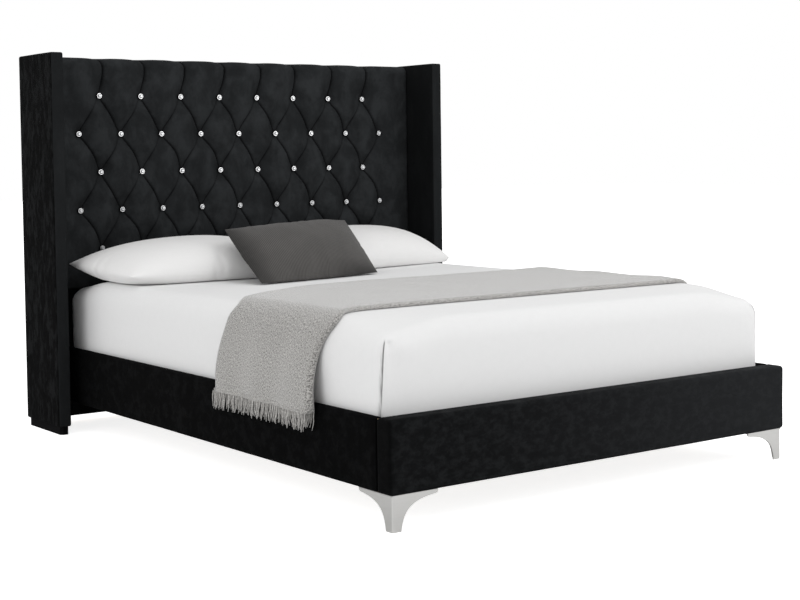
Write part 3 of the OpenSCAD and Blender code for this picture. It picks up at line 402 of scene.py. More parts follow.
def mix(first, second, share):
    return first + (second - first) * share


def smooth(amount):
    part = clamp(amount)
    return part * part * (3 - 2 * part)


def ripple(x, y, z, scale):
    return noise.noise(Vector((x * scale, y * scale, z * scale)))


def stops(low, high, radius, step, near):
    # places for cuts between two faces: close together in the rounded edges, even between
    count = max(1, round((high - low - 2 * radius) / step))
    middle = [mix(low + radius, high - radius, i / count) for i in range(1, count)]
    return ([low + radius * part for part in near[1:]] + middle
            + [high - radius * part for part in reversed(near[1:])])


def cut(mesh, point, normal, **rest):
    geometry = mesh.verts[:] + mesh.edges[:] + mesh.faces[:]
    bmesh.ops.bisect_plane(mesh, geom=geometry, dist=1e-6, plane_co=point, plane_no=normal, **rest)


def mapFlat(mesh, rule):
    uv = mesh.loops.layers.uv.new("UVMap")
    for face in mesh.faces:
        for loop in face.loops:
            loop[uv].uv = rule(loop.vert.co)


def roundedBlock(low, high, radii, step, near=(0.0, 0.12, 0.3, 0.55, 1.0)):
    # a box cut into a fine grid, its edges rounded by an own radius along each axis
    low, high, radii = Vector(low), Vector(high), Vector(radii)
    mesh = bmesh.new()
    bmesh.ops.create_cube(mesh, size=1)
    middle = (low + high) / 2
    for vert in mesh.verts:
        vert.co = middle + vert.co * (high - low)
    for axis in range(3):
        normal = Vector([float(axis == other) for other in range(3)])
        for place in stops(low[axis], high[axis], radii[axis], step[axis], near):
            point = middle.copy()
            point[axis] = place
            cut(mesh, point, normal)
    for vert in mesh.verts:
        core = Vector([clamp(vert.co[axis], low[axis] + radii[axis], high[axis] - radii[axis])
                       for axis in range(3)])
        share = Vector([(vert.co - core)[axis] / radii[axis] for axis in range(3)])
        if share.length > 1e-6:
            vert.co = core + share.normalized() * radii
    return mesh


# Tufted headboard: puffs between pleats that run from button to button
tuftSet = dict(
    columns=8, rows=5, pitchZ=0.145, topDrop=0.143, margin=0.143, depth=0.028, rollRadius=0.034,
    gridX=0.0043, gridZ=0.0044, rightBulge=(-0.003, 0.014), leftBulge=(-0.005, 0.003),
    topBulge=(0.026, 0.038), lineHalf=0.0026, lineEdge=0.35, sideDrop=0.009, sideRound=0.022,
    topLean=(0.016, 0.040), rollTurns=12, rollShare=0.30, flatTurns=14, backDrop=0.006, lump=0.0012,
    dimple=0.058, dimpleShade=0.0135, pleatShade=0.015, shadeRun=0.45, clearance=0.007,
    wavePower=1.2, softPower=2.0, sharpPower=2.6, dimplePower=2.4, widest=0.02,
)
# how deep each kind of pleat is at its upper end, where it is shallowest (turn) and at its lower
# end, how dark the painted shade in its slit is from end to end, and how much of its side is steep
pleatSet = {
    "right": dict(upper=1.0, least=0.66, lower=1.0, turn=0.5, slit=(1.0, 1.0), steep=0.62),
    "left": dict(upper=0.6, least=0.34, lower=0.95, turn=0.35, slit=(0.42, 0.95), steep=0.35),
    "top": dict(upper=1.0, least=0.62, lower=0.62, turn=1.0, slit=(1.0, 1.0), steep=0.6),
    "low": dict(upper=1.0, least=0.5, lower=0.5, turn=1.0, slit=(0.8, 0.8), steep=0.4),
}


def tuftPlan():
    low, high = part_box("headboard_pad")
    wingIn = high.x + 0.0003
    pitchX = 2 * (wingIn - tuftSet["margin"]) / tuftSet["columns"]
    firstZ = high.z - tuftSet["topDrop"]
    pitchZ = tuftSet["pitchZ"]

    def count(row):
        return tuftSet["columns"] + row % 2

    def spot(row, i):
        return ((i - (count(row) - 1) / 2) * pitchX, firstZ - row * pitchZ)

    rng = random.Random(7)
    pleats = []
    for row in range(tuftSet["rows"] - 1):
        for i in range(count(row)):
            x, z = spot(row, i)
            for side in (-0.5, 0.5):
                endX = x + side * pitchX
                if abs(endX) < count(row + 1) / 2 * pitchX:
                    kind = "right" if side > 0 else "left"
                    pleats.append((kind, x, z, endX, z - pitchZ, rng.uniform(*tuftSet[kind + "Bulge"])))
    for i in range(count(0)):
        x, z = spot(0, i)
        endX = x - rng.uniform(*tuftSet["topLean"])
        pleats.append(("top", x, z, endX, high.z + 0.05, rng.uniform(*tuftSet["topBulge"])))
    last = tuftSet["rows"] - 1
    for i in range(count(last)):
        x, z = spot(last, i)
        pleats.append(("low", x, z, x, low.z, 0.0))
    buttons = [spot(row, i) for row in range(tuftSet["rows"]) for i in range(count(row))]
    reach = pitchX * pitchZ / hypot(pitchX, 2 * pitchZ)
    return pleats, buttons, reach


def pleatShare(kind, t):
    look = pleatSet[kind]
    turn = look["turn"]
    if t > turn:
        return mix(look["least"], look["lower"], smooth((t - turn) / (1 - turn)))
    return mix(look["least"], look["upper"], smooth((turn - t) / turn))


def pleatLine(kind, t):
    return mix(*pleatSet[kind]["slit"], smooth((t - 0.15) / 0.6))


def pleatWave(pleat, t):
    kind, bulge = pleat[0], pleat[5]
    wave = bulge * sin(pi * clamp(t) ** tuftSet["wavePower"])
    return wave if kind == "top" else -wave


def pleatCross(pleat, z):
    # where a pleat crosses a height, and the share of its run there
    x0, z0, x1, z1 = pleat[1:5]
    runX, runZ = x1 - x0, z1 - z0
    long = hypot(runX, runZ)
    t = (z - z0) / runZ
    x = x0
    for _ in range(3):
        x = x0 + ((z - z0) * runX + pleatWave(pleat, t) * long) / runZ
        t = ((x - x0) * runX + (z - z0) * runZ) / (long * long)
    return x, t


def tuftField(x, z, pleats, buttons, reach):
    # returns the depth below the crown and the painted shade of the hollow at a spot
    height = 1.0
    shade = 0.0
    widest = reach + tuftSet["widest"]
    for pleat in pleats:
        kind, x0, z0, x1, z1 = pleat[:5]
        if not (min(z0, z1) - reach <= z <= max(z0, z1) + reach
                and min(x0, x1) - widest <= x <= max(x0, x1) + widest):
            continue
        runX, runZ = x1 - x0, z1 - z0
        long = hypot(runX, runZ)
        t = ((x - x0) * runX + (z - z0) * runZ) / (long * long)
        across = ((x - x0) * runZ - (z - z0) * runX) / long
        part = clamp(t)
        side = across - pleatWave(pleat, part)
        past = (t - part) * long
        away = hypot(side, past)
        if away >= reach:
            continue
        u = away / reach
        steep = 1 - sqrt(max(0.0, 1 - (1 - u) ** 2))
        soft = (1 - u) ** tuftSet["sharpPower" if kind == "right" and side > 0 else "softPower"]
        height *= 1 - pleatShare(kind, part) * mix(soft, steep, pleatSet[kind]["steep"])
        near = part if kind == "top" else 1 - part
        # painted shade round each pleat, strongest toward its button end
        shadeFall = exp(-(away / tuftSet["pleatShade"]) ** 2)
        shade = max(shade, 0.5 * shadeFall * smooth(1 - near / tuftSet["shadeRun"]))
    for bx, bz in buttons:
        away = hypot(x - bx, z - bz)
        if away < tuftSet["dimple"]:
            height *= 1 - (1 - away / tuftSet["dimple"]) ** tuftSet["dimplePower"]
            # painted shade in the dimple round each button
            shade = max(shade, exp(-(away / tuftSet["dimpleShade"]) ** 4))
    return tuftSet["depth"] * (1 - height), shade


def pleatedGrid(alongs, columns, halfX, pleats, buttons):
    # X places of the grid, drawn to the pleats so that each slit follows its own line of edges
    half, edge = tuftSet["lineHalf"], tuftSet["lineEdge"]
    places = [[mix(-halfX, halfX, i / columns) for i in range(columns + 1)] for _ in alongs]
    lines = [[0.0] * (columns + 1) for _ in alongs]
    owners = {}
    for number, pleat in enumerate(pleats):
        low, high = min(pleat[2], pleat[4]), max(pleat[2], pleat[4])
        for j, along in enumerate(alongs):
            if along is None or not low <= along <= high:
                continue
            x, t = pleatCross(pleat, along)
            if any(hypot(x - bx, along - bz) < tuftSet["clearance"] for bx, bz in buttons):
                continue
            i = round((x + halfX) / (2 * halfX) * columns)
            if not 2 <= i <= columns - 2 or any((j, k) in owners for k in (i - 1, i, i + 1)):
                continue
            # painted shade in the slit, with a share of it on the neighbouring columns
            slitShade = pleatLine(pleat[0], clamp(t))
            owners[(j, i)] = number
            places[j][i] = x
            lines[j][i] = slitShade
            for step in (-1, 1):
                places[j][i + step] = x + step * half
                lines[j][i + step] = max(lines[j][i + step], edge * slitShade)
    return places, lines, owners


def makeHeadboard():
    low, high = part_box("headboard_pad")
    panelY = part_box("headboard_panel")[0].y
    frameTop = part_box("headboard_panel")[1].z
    pleats, buttons, reach = tuftPlan()
    crownY, topZ, backY = low.y, high.z, high.y
    radius = tuftSet["rollRadius"]
    halfX = high.x
    straight = round((topZ - radius - low.z) / tuftSet["gridZ"])
    turns, flat, rollShare = tuftSet["rollTurns"], tuftSet["flatTurns"], tuftSet["rollShare"]
    # the section as a loop of (y, z, outward y, outward z, share of the tufting)
    section = []
    for i in range(straight + 1):
        section.append((crownY, mix(low.z, topZ - radius, i / straight), -1.0, 0.0, 1.0))
    for i in range(1, turns + 1):
        angle = pi / 2 * i / turns
        section.append((crownY + radius * (1 - cos(angle)), topZ - radius * (1 - sin(angle)),
                        -cos(angle), sin(angle), mix(1.0, rollShare, i / turns)))
    for i in range(1, flat + 1):
        part = i / flat
        drop = tuftSet["backDrop"] * smooth((part - 0.6) / 0.4)
        section.append((mix(crownY + radius, backY, part), topZ - drop, 0.0, 1.0,
                        rollShare * (1 - smooth(part * 1.5))))
    for y, z in ((backY, frameTop + 0.004), (backY, frameTop), (panelY, frameTop),
                 (panelY, mix(frameTop, low.z, 0.5)), (panelY, low.z)):
        section.append((y, z, 0.0, 0.0, 0.0))
    columns = round(2 * halfX / tuftSet["gridX"])
    rows = len(section)
    alongs = []
    for y, z, outY, outZ, share in section:
        along = z if outZ < 0.001 else topZ - radius + asin(min(outZ, 1.0)) * radius
        if outZ > 0.999:
            along += y - crownY - radius
        alongs.append(along if share > 0 else None)
    places, lines, owners = pleatedGrid(alongs, columns, halfX, pleats, buttons)
    mesh = bmesh.new()
    paintedShadeLayer = mesh.verts.layers.float.new("paintedCreaseShade")
    bmesh.ops.create_grid(mesh, x_segments=columns, y_segments=rows, size=1)
    mesh.verts.index_update()
    pleatOf = {}
    for vert in mesh.verts:
        i = round((vert.co.x + 1) / 2 * columns)
        j = round((vert.co.y + 1) / 2 * rows) % rows
        x = places[j][i]
        y, z, outY, outZ, share = section[j]
        sunk, paintedCreaseShade = 0.0, 0.0
        if share > 0:
            depth, shade = tuftField(x, alongs[j], pleats, buttons, reach)
            edge = clamp(1 - (halfX - abs(x)) / tuftSet["sideRound"])
            rounded = tuftSet["sideDrop"] * (1 - sqrt(max(0.0, 1 - edge ** 2)))
            lump = tuftSet["lump"] * ripple(x, 0.0, alongs[j], 18)
            sunk = (depth + 0.002 * lines[j][i]) * share + rounded * max(share, 0.3) + lump * share
            # painted shade of the slits and hollows, kept on the vertex for the velvet
            paintedCreaseShade = max(shade, lines[j][i]) * min(1.0, share * 2.5)
        vert.co = Vector((x, y - outY * sunk, z - outZ * sunk))
        vert[paintedShadeLayer] = paintedCreaseShade
        if (j, i) in owners:
            pleatOf[vert.index] = owners[(j, i)]
    for face in mesh.faces[:]:
        corners = [pleatOf.get(vert.index) for vert in face.verts]
        for first in (0, 1):
            if corners[first] is not None and corners[first] == corners[first + 2]:
                bmesh.utils.face_split(face, face.verts[first], face.verts[first + 2])
                break
    bmesh.ops.remove_doubles(mesh, verts=mesh.verts[:], dist=1e-6)
    rims = [edge for edge in mesh.edges if edge.is_boundary]
    for side in (-1, 1):
        loop = [edge for edge in rims if edge.verts[0].co.x * side > 0]
        bmesh.ops.contextual_create(mesh, geom=loop)
    bmesh.ops.triangulate(mesh, faces=[face for face in mesh.faces if len(face.verts) > 4])
    bmesh.ops.recalc_face_normals(mesh, faces=mesh.faces[:])
    addPiece("headboardTufting", mesh, "bed", "velvet", "headboard_pad", velvetFinish("headboard"))
    print("headboard tufted, buttons:", len(buttons))


coverSet = {
    "wing": dict(radius=0.007, step=(0.016, 0.016, 0.03), swell=0.0008, lumps=9),
    "sideRail": dict(radius=0.012, step=(0.01, 0.022, 0.022), swell=0.0012, lumps=8, inset=0.0008),
    "footRail": dict(radius=0.012, step=(0.022, 0.012, 0.022), swell=0.0012, lumps=7, inset=0.0012),
    "lower": dict(radius=0.005, step=(0.05, 0.05, 0.05)),
}


def coverBlock(node, look, radii=None):
    low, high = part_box(node)
    return low, high, roundedBlock(low, high, radii or (look["radius"],) * 3, look["step"])


def makeWings():
    look = coverSet["wing"]
    finishes = [velvetFinish(kind) for kind in ("wingOuter", "wingFront", "wingInner")]
    for side, outward in (("left", -1), ("right", 1)):
        node = f"wing_{side}_cover"
        low, high, mesh = coverBlock(node, look)
        for vert in mesh.verts:
            swell = look["swell"] * ripple(vert.co.x + 3, vert.co.y, vert.co.z, look["lumps"])
            vert.co.z = clamp(vert.co.z + swell, low.z, high.z)
            vert.co.y += swell * (vert.co.y < high.y - 0.01) * (vert.co.y > low.y + 0.001)
        # the front, outer and inner faces of each wing get lit and shaded copies of the velvet: painted
        # light and shade
        for face in mesh.faces:
            if face.normal.y < -0.6:
                face.material_index = 1
            elif face.normal.x * outward < -0.5:
                face.material_index = 2
        addPiece(f"wingCover.{side}", mesh, "bed", "velvet", node, *finishes)


def makeRails():
    look = coverSet["sideRail"]
    velvet = velvetFinish("sideRail")
    for side, outward in (("left", -1), ("right", 1)):
        node = f"side_rail_{side}_cover"
        low, high, mesh = coverBlock(node, look, (look["radius"], 0.003, look["radius"]))
        for vert in mesh.verts:
            if vert.co.x * outward > abs(low.x + high.x) / 2:
                swell = look["swell"] * ripple(*vert.co, look["lumps"])
                vert.co.x += (swell - look["inset"]) * outward
        addPiece(f"railCover.{side}", mesh, "bed", "velvet", node, velvet)
    look = coverSet["footRail"]
    low, high, mesh = coverBlock("foot_rail_cover", look)
    for vert in mesh.verts:
        if vert.co.y < low.y + 0.02:
            vert.co.y += look["inset"] + look["swell"] * ripple(*vert.co, look["lumps"])
    addPiece("railCover.foot", mesh, "bed", "velvet", "foot_rail_cover", velvetFinish("footRail"))
    mesh = coverBlock("headboard_lower_cover", coverSet["lower"])[2]
    addPiece("headboardLowerCover", mesh, "bed", "velvet", "headboard_lower_cover",
             velvetFinish("plain"))
    print("wings and rails covered")


mattressSet = dict(
    planRadius=0.050, edgeRadius=0.068, step=0.03,
    near=(0.0, 0.03, 0.06, 0.10, 0.15, 0.21, 0.29, 0.40, 0.56, 0.76, 1.0), cloth=0.0012, below=0.06,
    spared=0.06,
)
dartSet = dict(
    tip=0.012, run=0.020, swing=0.012, groove=0.0050, grooveHalf=0.0016, lip=0.0034, lipOff=0.0056,
    lipHalf=0.0028, hollow=0.0115, sink=0.038, sinkRun=0.27, seamHalf=0.0018, openRun=0.22,
    swingRun=0.25, widest=0.15, hollowShare=(1.0, 0.45), hollowOff=(0.016, 0.05),
    hollowHalf=(0.011, 0.036),
)


def dartDepth(run, fall):
    # how far the sheet is drawn in by a sewn corner: a slit, a lip on each side and a hollow past it,
    # and the share of painted shade along the slit
    def hump(off, half):
        return exp(-((run - off) / half) ** 2)

    share = smooth(fall / dartSet["run"])
    down = clamp(fall / dartSet["openRun"])
    groove = dartSet["groove"] * hump(0.0, dartSet["grooveHalf"])
    lip = dartSet["lip"] * (hump(-dartSet["lipOff"], dartSet["lipHalf"])
                            + 0.5 * down * hump(dartSet["lipOff"], dartSet["lipHalf"]))
    hollow = dartSet["hollow"] * mix(*dartSet["hollowShare"], down)
    hollow *= hump(mix(*dartSet["hollowOff"], down), mix(*dartSet["hollowHalf"], down))
    return share * (groove - lip + hollow), share * hump(0.0, dartSet["seamHalf"])


def sewCorners(mesh, low, high):
    # the corners of the top sink a little toward the tip of the seam that closes each of them
    radius = mattressSet["planRadius"]
    # the seam layer holds painted shade along the slit of each sewn corner
    seamShadeLayer = mesh.verts.layers.float.new("seam")
    quarter = radius * pi / 4
    reach = dartSet["sinkRun"]
    for vert in mesh.verts:
        sideX = 1 if vert.co.x > 0 else -1
        sideY = 1 if vert.co.y > 0 else -1
        endY = high.y if sideY > 0 else -low.y
        inX, inY = high.x - vert.co.x * sideX, endY - vert.co.y * sideY
        if max(inX, inY) > reach:
            continue
        sink = dartSet["sink"] * smooth(1 - inX / reach) * smooth(1 - inY / reach)
        fall = high.z - dartSet["tip"] - vert.co.z
        awayX, awayY = radius - inX, radius - inY
        if fall > 0 and min(awayX, awayY) > -dartSet["widest"]:
            if awayX > 0 and awayY > 0:
                run = (atan2(awayY, awayX) - pi / 4) * radius
            else:
                run = quarter - awayX if awayY > awayX else awayY - quarter
            run += dartSet["swing"] * clamp(fall / dartSet["swingRun"])
            depth, seam = dartDepth(run, fall)
            out = Vector((max(awayX, 0) * sideX, max(awayY, 0) * sideY, 0)).normalized()
            vert.co -= out * depth
            vert[seamShadeLayer] = seam
        vert.co.z -= sink * clamp((vert.co.z - low.z) / (high.z - low.z)) ** 2


def softBlock(low, high):
    look = mattressSet
    radii = (look["planRadius"], look["planRadius"], look["edgeRadius"])
    mesh = roundedBlock(low, high, radii, (look["step"],) * 3, look["near"])
    sewCorners(mesh, low, high)
    return mesh


def makeMattress():
    ticking = weaveFinish("ticking", (0.82, 0.82, 0.80), 500, 0.0002)
    mesh = softBlock(*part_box("mattress"))
    body = addPiece("mattressCore", mesh, "mattress", "ticking", "mattress", ticking)
    # the sheet is a longer block of the same shape, cut off at its hem
    low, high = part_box("fitted_sheet")
    hem = low.z
    low.z -= mattressSet["below"]
    mesh = softBlock(low, high)
    cut(mesh, (0, 0, hem), (0, 0, -1), clear_outer=True)
    # the dark seam colour is painted shade in the slit of each sewn corner
    linen = weaveFinish("whiteSheet", (0.84, 0.84, 0.84), 900, 0.00008, slub=0.05, sheen=0.0,
                        seam=(0.22, 0.22, 0.22))
    sheet = addPiece("fittedSheet", mesh, "mattress", "white_sheet", "fitted_sheet", linen)
    shell = sheet.modifiers.new("thickness", "SOLIDIFY")
    shell.thickness = mattressSet["cloth"]
    shell.offset = -1
    # flat size: down both sides, less what the round edges spare and the corners sewn away
    width, long, tall = high - low
    tall -= mattressSet["below"]
    flat = [side + 2 * tall - mattressSet["spared"] for side in (width, long)]
    flat[0] * flat[1] - 4 * tall ** 2
    print("mattress and sheet made")


# Pillows and cushion: two flat sheets joined at the rim and blown up by a cloth simulation
bagSet = {
    "pillow": dict(size=(0.76, 0.53), grid=(64, 44), pressure=6.0, frames=26, bending=0.12,
                   tension=9.0, dome=0.02, ruffle=0.0016, bow=0.50, calm=0.88, crown=(2.5, 0.60),
                   rise=0.096, drop=0.092, fill=0.75),
    "cushion": dict(size=(0.61, 0.36), grid=(72, 44), pressure=5.0, frames=22, bending=0.6,
                    tension=16.0, dome=0.02, ruffle=0.0006, bow=0.08, calm=0.90, crown=(2.0, 0.75),
                    rise=0.072, drop=0.072, fill=0.7),
}


def crownOf(part, flat, edge):
    return max(0.0, 1 - abs(part) ** flat) ** edge


def blownBag(kind):
    # gives a mesh from -1 to 1 along each axis, with its flat places kept in the UV map
    look = bagSet[kind]
    wide, deep = look["size"]
    mesh = bmesh.new()
    columns, rows = look["grid"]
    for side in (1, -1):
        made = bmesh.ops.create_grid(mesh, x_segments=columns, y_segments=rows, size=0.5)
        for vert in made["verts"]:
            x, y = vert.co.x, vert.co.y
            dome = (1 - 4 * x * x) * (1 - 4 * y * y)
            ruffle = look["ruffle"] * ripple(x, y, side, 9) * min(1.0, 6 * dome)
            vert.co = Vector((x * wide, y * deep, side * (look["dome"] * dome + ruffle)))
        if side < 0:
            faces = {face for vert in made["verts"] for face in vert.link_faces}
            bmesh.ops.reverse_faces(mesh, faces=list(faces))
    mapFlat(mesh, lambda place: place.xy)
    bmesh.ops.remove_doubles(mesh, verts=mesh.verts[:], dist=1e-5)
    mesh.verts.ensure_lookup_table()
    flats = [(2 * vert.co.x / wide, 2 * vert.co.y / deep) for vert in mesh.verts]
    crowns = [copysign(crownOf(u, *look["crown"]) * crownOf(v, *look["crown"]), vert.co.z)
              for (u, v), vert in zip(flats, mesh.verts)]
    data = bpy.data.meshes.new("bagDraft")
    mesh.to_mesh(data)
    draft = addObject("bagDraft", data)
    cloth = draft.modifiers.new("cloth", "CLOTH")
    stiff = look["tension"]
    rules = dict(quality=6, mass=0.2, air_damping=2.0, tension_stiffness=stiff,
                 compression_stiffness=stiff, shear_stiffness=0.4 * stiff,
                 bending_stiffness=look["bending"], use_pressure=True,
                 uniform_pressure_force=look["pressure"])
    for key, amount in rules.items():
        setattr(cloth.settings, key, amount)
    cloth.settings.effector_weights.gravity = 0
    cloth.collision_settings.use_collision = False
    cloth.point_cache.frame_start = 1
    cloth.point_cache.frame_end = look["frames"]
    for step in range(1, look["frames"] + 1):
        scene.frame_set(step)
    settled = draft.evaluated_get(bpy.context.evaluated_depsgraph_get()).to_mesh()
    places = [vert.co.copy() for vert in settled.vertices]
    scene.frame_set(1)
    bpy.data.objects.remove(draft)
    reach = [max(abs(place[axis]) for place in places) for axis in range(3)]
    print(kind, "blown up to", [round(2 * part, 3) for part in reach])
    rimX = {round(v, 4): abs(place.x) for (u, v), place in zip(flats, places) if abs(u) > 0.9999}
    rimY = {round(u, 4): abs(place.y) for (u, v), place in zip(flats, places) if abs(v) > 0.9999}
    calm = look["calm"] ** 2
    for vert, place, (u, v), crown in zip(mesh.verts, places, flats, crowns):
        wideHere = mix(rimX[round(v, 4)], reach[0], look["bow"])
        deepHere = mix(rimY[round(u, 4)], reach[1], look["bow"])
        height = mix(place.z / reach[2], crown, look["calm"])
        vert.co = Vector((mix(place.x / wideHere, u, calm), mix(place.y / deepHere, v, calm), height))
    return mesh


def softMost(amount, floor, blend):
    # the larger of two numbers, with a rounded corner between them
    gap = amount - floor
    return floor + (gap + sqrt(gap * gap + blend * blend)) / 2


def layBag(kind, name, mesh, corners, dent, body, slotName, finish):
    # lays a bag between the corners of its rim, which go round from the front left one
    look = bagSet[kind]
    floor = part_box("fitted_sheet")[1].z + beddingSet["rest"]
    frontLeft, frontRight, backRight, backLeft = (Vector(corner) for corner in corners)
    up = (frontRight - frontLeft).cross(backLeft - frontLeft).normalized()
    for vert in mesh.verts:
        u, v, w = (vert.co.x + 1) / 2, (vert.co.y + 1) / 2, vert.co.z
        seam = frontLeft.lerp(frontRight, u).lerp(backLeft.lerp(backRight, u), v)
        place = dent(seam + up * w * look["rise" if w > 0 else "drop"], u, v, w)
        place.z = softMost(place.z, floor, beddingSet["blend"])
        vert.co = place
    obj = addPiece(name, mesh, body, slotName, body, finish)
    soft = obj.modifiers.new("smooth", "SUBSURF")
    soft.levels = 1
    soft.render_levels = 1


beddingSet = dict(rest=0.0012, blend=0.004, edge=0.002, sag=0.045, crownRise=(0.005, 0.007))


def sagging(place, u, v, w):
    # the underside of a pillow fills down to the sheet toward one end
    if w < 0:
        place.z -= beddingSet["sag"] * (-w) ** 0.3 * smooth((u - 0.6) / 0.4)
    return place


def crowned(place, u, v, w):
    # the upper edge of the cushion stands up toward one end
    even, peak = beddingSet["crownRise"]
    place.z += v * v * (even + peak * exp(-((u - 0.78) / 0.15) ** 2))
    return place


def makePillows():
    cotton = weaveFinish("whiteCotton", (0.86, 0.855, 0.85), 800, 0.00006, slub=0.04, sheen=0.05,
                         source="UV")
    half, tail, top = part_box("fitted_sheet")[1]
    half -= beddingSet["edge"]
    tail -= beddingSet["edge"]
    plans = {
        "left": [(-half - 0.005, tail - 0.535, top + 0.036), (-0.042, tail - 0.552, top + 0.038),
                 (-0.034, tail - 0.034, top + 0.086), (-half - 0.028, tail - 0.055, top + 0.060)],
        "right": [(0.048, tail - 0.540, top + 0.038), (half + 0.026, tail - 0.350, top + 0.020),
                  (half + 0.008, tail - 0.030, top + 0.092), (0.040, tail - 0.034, top + 0.092)],
    }
    master = blownBag("pillow")
    for side, corners in plans.items():
        mesh = master.copy()
        if side == "right":
            halfTurn = Matrix.Rotation(pi, 3, "Z")
            bmesh.ops.rotate(mesh, verts=mesh.verts[:], cent=(0, 0, 0), matrix=halfTurn)
        layBag("pillow", f"bedPillow.{side}", mesh, corners, sagging, f"pillow_{side}", "white_cotton",
               cotton)
    master.free()
    print("pillows laid")


def ribFinish(name, tone):
    # ribs along V of the flat cloth, crossed by fine threads, with painted shade darker to the left and
    # at the front
    finish = Finish(name, specular=0.25, sheen=0.12, sheenRough=0.45)
    place = finish.place("UV")
    across = finish.axis(place, "X")
    along = finish.axis(place, "Y")
    ribs = (across * (2 * pi * 152)).sine() * 0.5 + 0.5
    stitches = (along * (2 * pi * 240)).sine() * 0.5 + 0.5
    patches = finish.cloud(place, 10.0, 4.0, 0.6)
    fibres = finish.cloud(place, 900.0, 2.0)
    dark = toned(tone, 0.22)
    base = finish.colour(ribs * 0.62 + stitches * 0.13 + fibres * 0.25, dark, toned(tone, 1.65))
    base = finish.colour(patches.ramp(0.3, 0.7) * 0.18, base, dark)
    # painted shade along the left flank and the front edge
    shadedFlank = across.ramp(-0.20, -0.30).most(along.ramp(-0.10, -0.18) * across.ramp(-0.05, 0.25))
    base = finish.colour(shadedFlank * 0.78, base, dark)
    normal = finish.bump(ribs + stitches * 0.3, 0.0009, 0.6)
    return finish.into(base=base, rough=0.82 + fibres * 0.12, normal=normal)


def makeCushion():
    weave = ribFinish("greyWeave", (0.086, 0.082, 0.0785))
    tail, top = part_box("fitted_sheet")[1].yz
    tail -= beddingSet["edge"]
    corners = [(-0.385, tail - 0.776, top + 0.005), (0.198, tail - 0.661, top + 0.005),
               (0.238, tail - 0.381, top + 0.191), (-0.363, tail - 0.479, top + 0.182)]
    layBag("cushion", "scatterCushion", blownBag("cushion"), corners, crowned, "scatter_cushion",
           "grey_weave", weave)
    print("cushion laid")


# Folded throw: one cloth doubled along its foot edge and laid over the bed
throwSet = dict(
    length=1.906, drop=0.275, lower=0.0030, upper=0.0120, cloth=0.0055, grid=(260, 150),
    foldRadius=0.012, headStep=0.010, wave=0.007, waveCount=2.5, waveRun=0.33, foldOpen=0.018,
    fringe=0.055, footHem=0.288, footSide=0.332, footEdge=0.312, footSwing=0.100, swingRun=0.070,
    hemHead=0.832, sideHead=0.038, turnHead=0.785, topHead=1.040, headRun=0.600, headRound=0.015,
    foldSquash=0.8, foldSwell=0.0022, roomShare=0.9, loft=0.0016, bumps=0.0010, edgeWander=0.003,
    flatWidth=1.48, halfUV=0.82,
)
fringeSet = dict(
    strands=74, joints=7, thick=0.0024, scatter=0.35, share=(0.78, 1.0), root=0.016, lift=0.0036,
    lean=0.014, curl=(0.6, 1.8), bob=0.0012, sway=0.0022, thin=0.45, uneven=(0.85, 1.15),
    paintedLight=2.8,
)


class ThrowPlan:
    # the way of the throw over the bed: s runs from the near hem, v from the foot edge to the head
    def __init__(self):
        sheetLow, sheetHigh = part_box("fitted_sheet")
        self.coreY = sheetLow.y + 0.002
        self.inner = sheetHigh.x + 0.0003
        self.top = sheetHigh.z + 0.0003
        self.bend = 0.9 * mattressSet["edgeRadius"]
        self.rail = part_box("side_rail_right_cover")[1] + Vector((0.006, 0, 0.012))
        self.side = throwSet["drop"] - self.bend
        self.turn = self.bend * pi / 2
        self.half = self.side + self.turn + self.inner - self.bend
        self.mid = self.side + self.turn / 2

    def hangOut(self, z):
        full = self.rail.x - self.inner
        return mix(full, 0.0, smooth((z - self.rail.z) / (self.top - self.bend - self.rail.z)))

    def path(self, s):
        # inner face in X and Z, and its outward direction; the far side mirrors the near one
        near = s < self.half
        s = min(s, 2 * self.half - s) - self.side
        x, z, outX, outZ = self.inner, self.top - self.bend, 1.0, 0.0
        if s < 0:
            z += s
            x += self.hangOut(z) * near
        elif s < self.turn:
            angle = pi / 2 * s / self.turn
            outX, outZ = cos(angle), sin(angle)
            x += self.bend * (outX - 1)
            z += self.bend * outZ
        else:
            x, z, outX, outZ = self.inner - self.bend - s + self.turn, self.top, 0.0, 1.0
        return (-x, z, -outX, outZ) if near else (x, z, outX, outZ)

    def footY(self, s):
        look = throwSet
        swing = look["footSwing"] / (1 + ((s - self.mid) / look["swingRun"]) ** 2)
        if s < self.mid:
            edge = mix(look["footHem"], look["footSide"], smooth(s / (0.8 * self.mid)))
        else:
            edge = mix(look["footSide"], look["footEdge"], smooth((s - self.mid) / 0.25))
        return self.coreY + edge - swing

    def headY(self, s):
        look = throwSet
        t = min((s - self.mid) / look["headRun"], 1)
        near = mix(look["hemHead"], look["turnHead"], s / self.mid)
        near += look["sideHead"] * sin(pi * clamp(s / self.mid) ** 1.5)
        far = mix(look["turnHead"], look["topHead"], 1 - (1 - t) ** 2)
        return self.coreY + (near + far + hypot(near - far, look["headRound"])) / 2

    def foldRoom(self, s, v):
        room = throwSet["foldOpen"] * (1 - v) ** 3 * smooth(1 - s / throwSet["waveRun"])
        return throwSet["roomShare"] * room

    def wave(self, s, v):
        run = throwSet["waveRun"]
        share = max(smooth(1 - s / run), smooth(1 - (throwSet["length"] - s) / run))
        turn = 2 * pi * (throwSet["waveCount"] * v + 0.15)
        return throwSet["wave"] * share * (0.5 - 0.5 * cos(turn))

    def place(self, s, v, out):
        x, z, outX, outZ = self.path(s)
        lift = out + self.wave(s, v)
        return Vector((x + outX * lift, mix(self.footY(s), self.headY(s), v), z + outZ * lift))


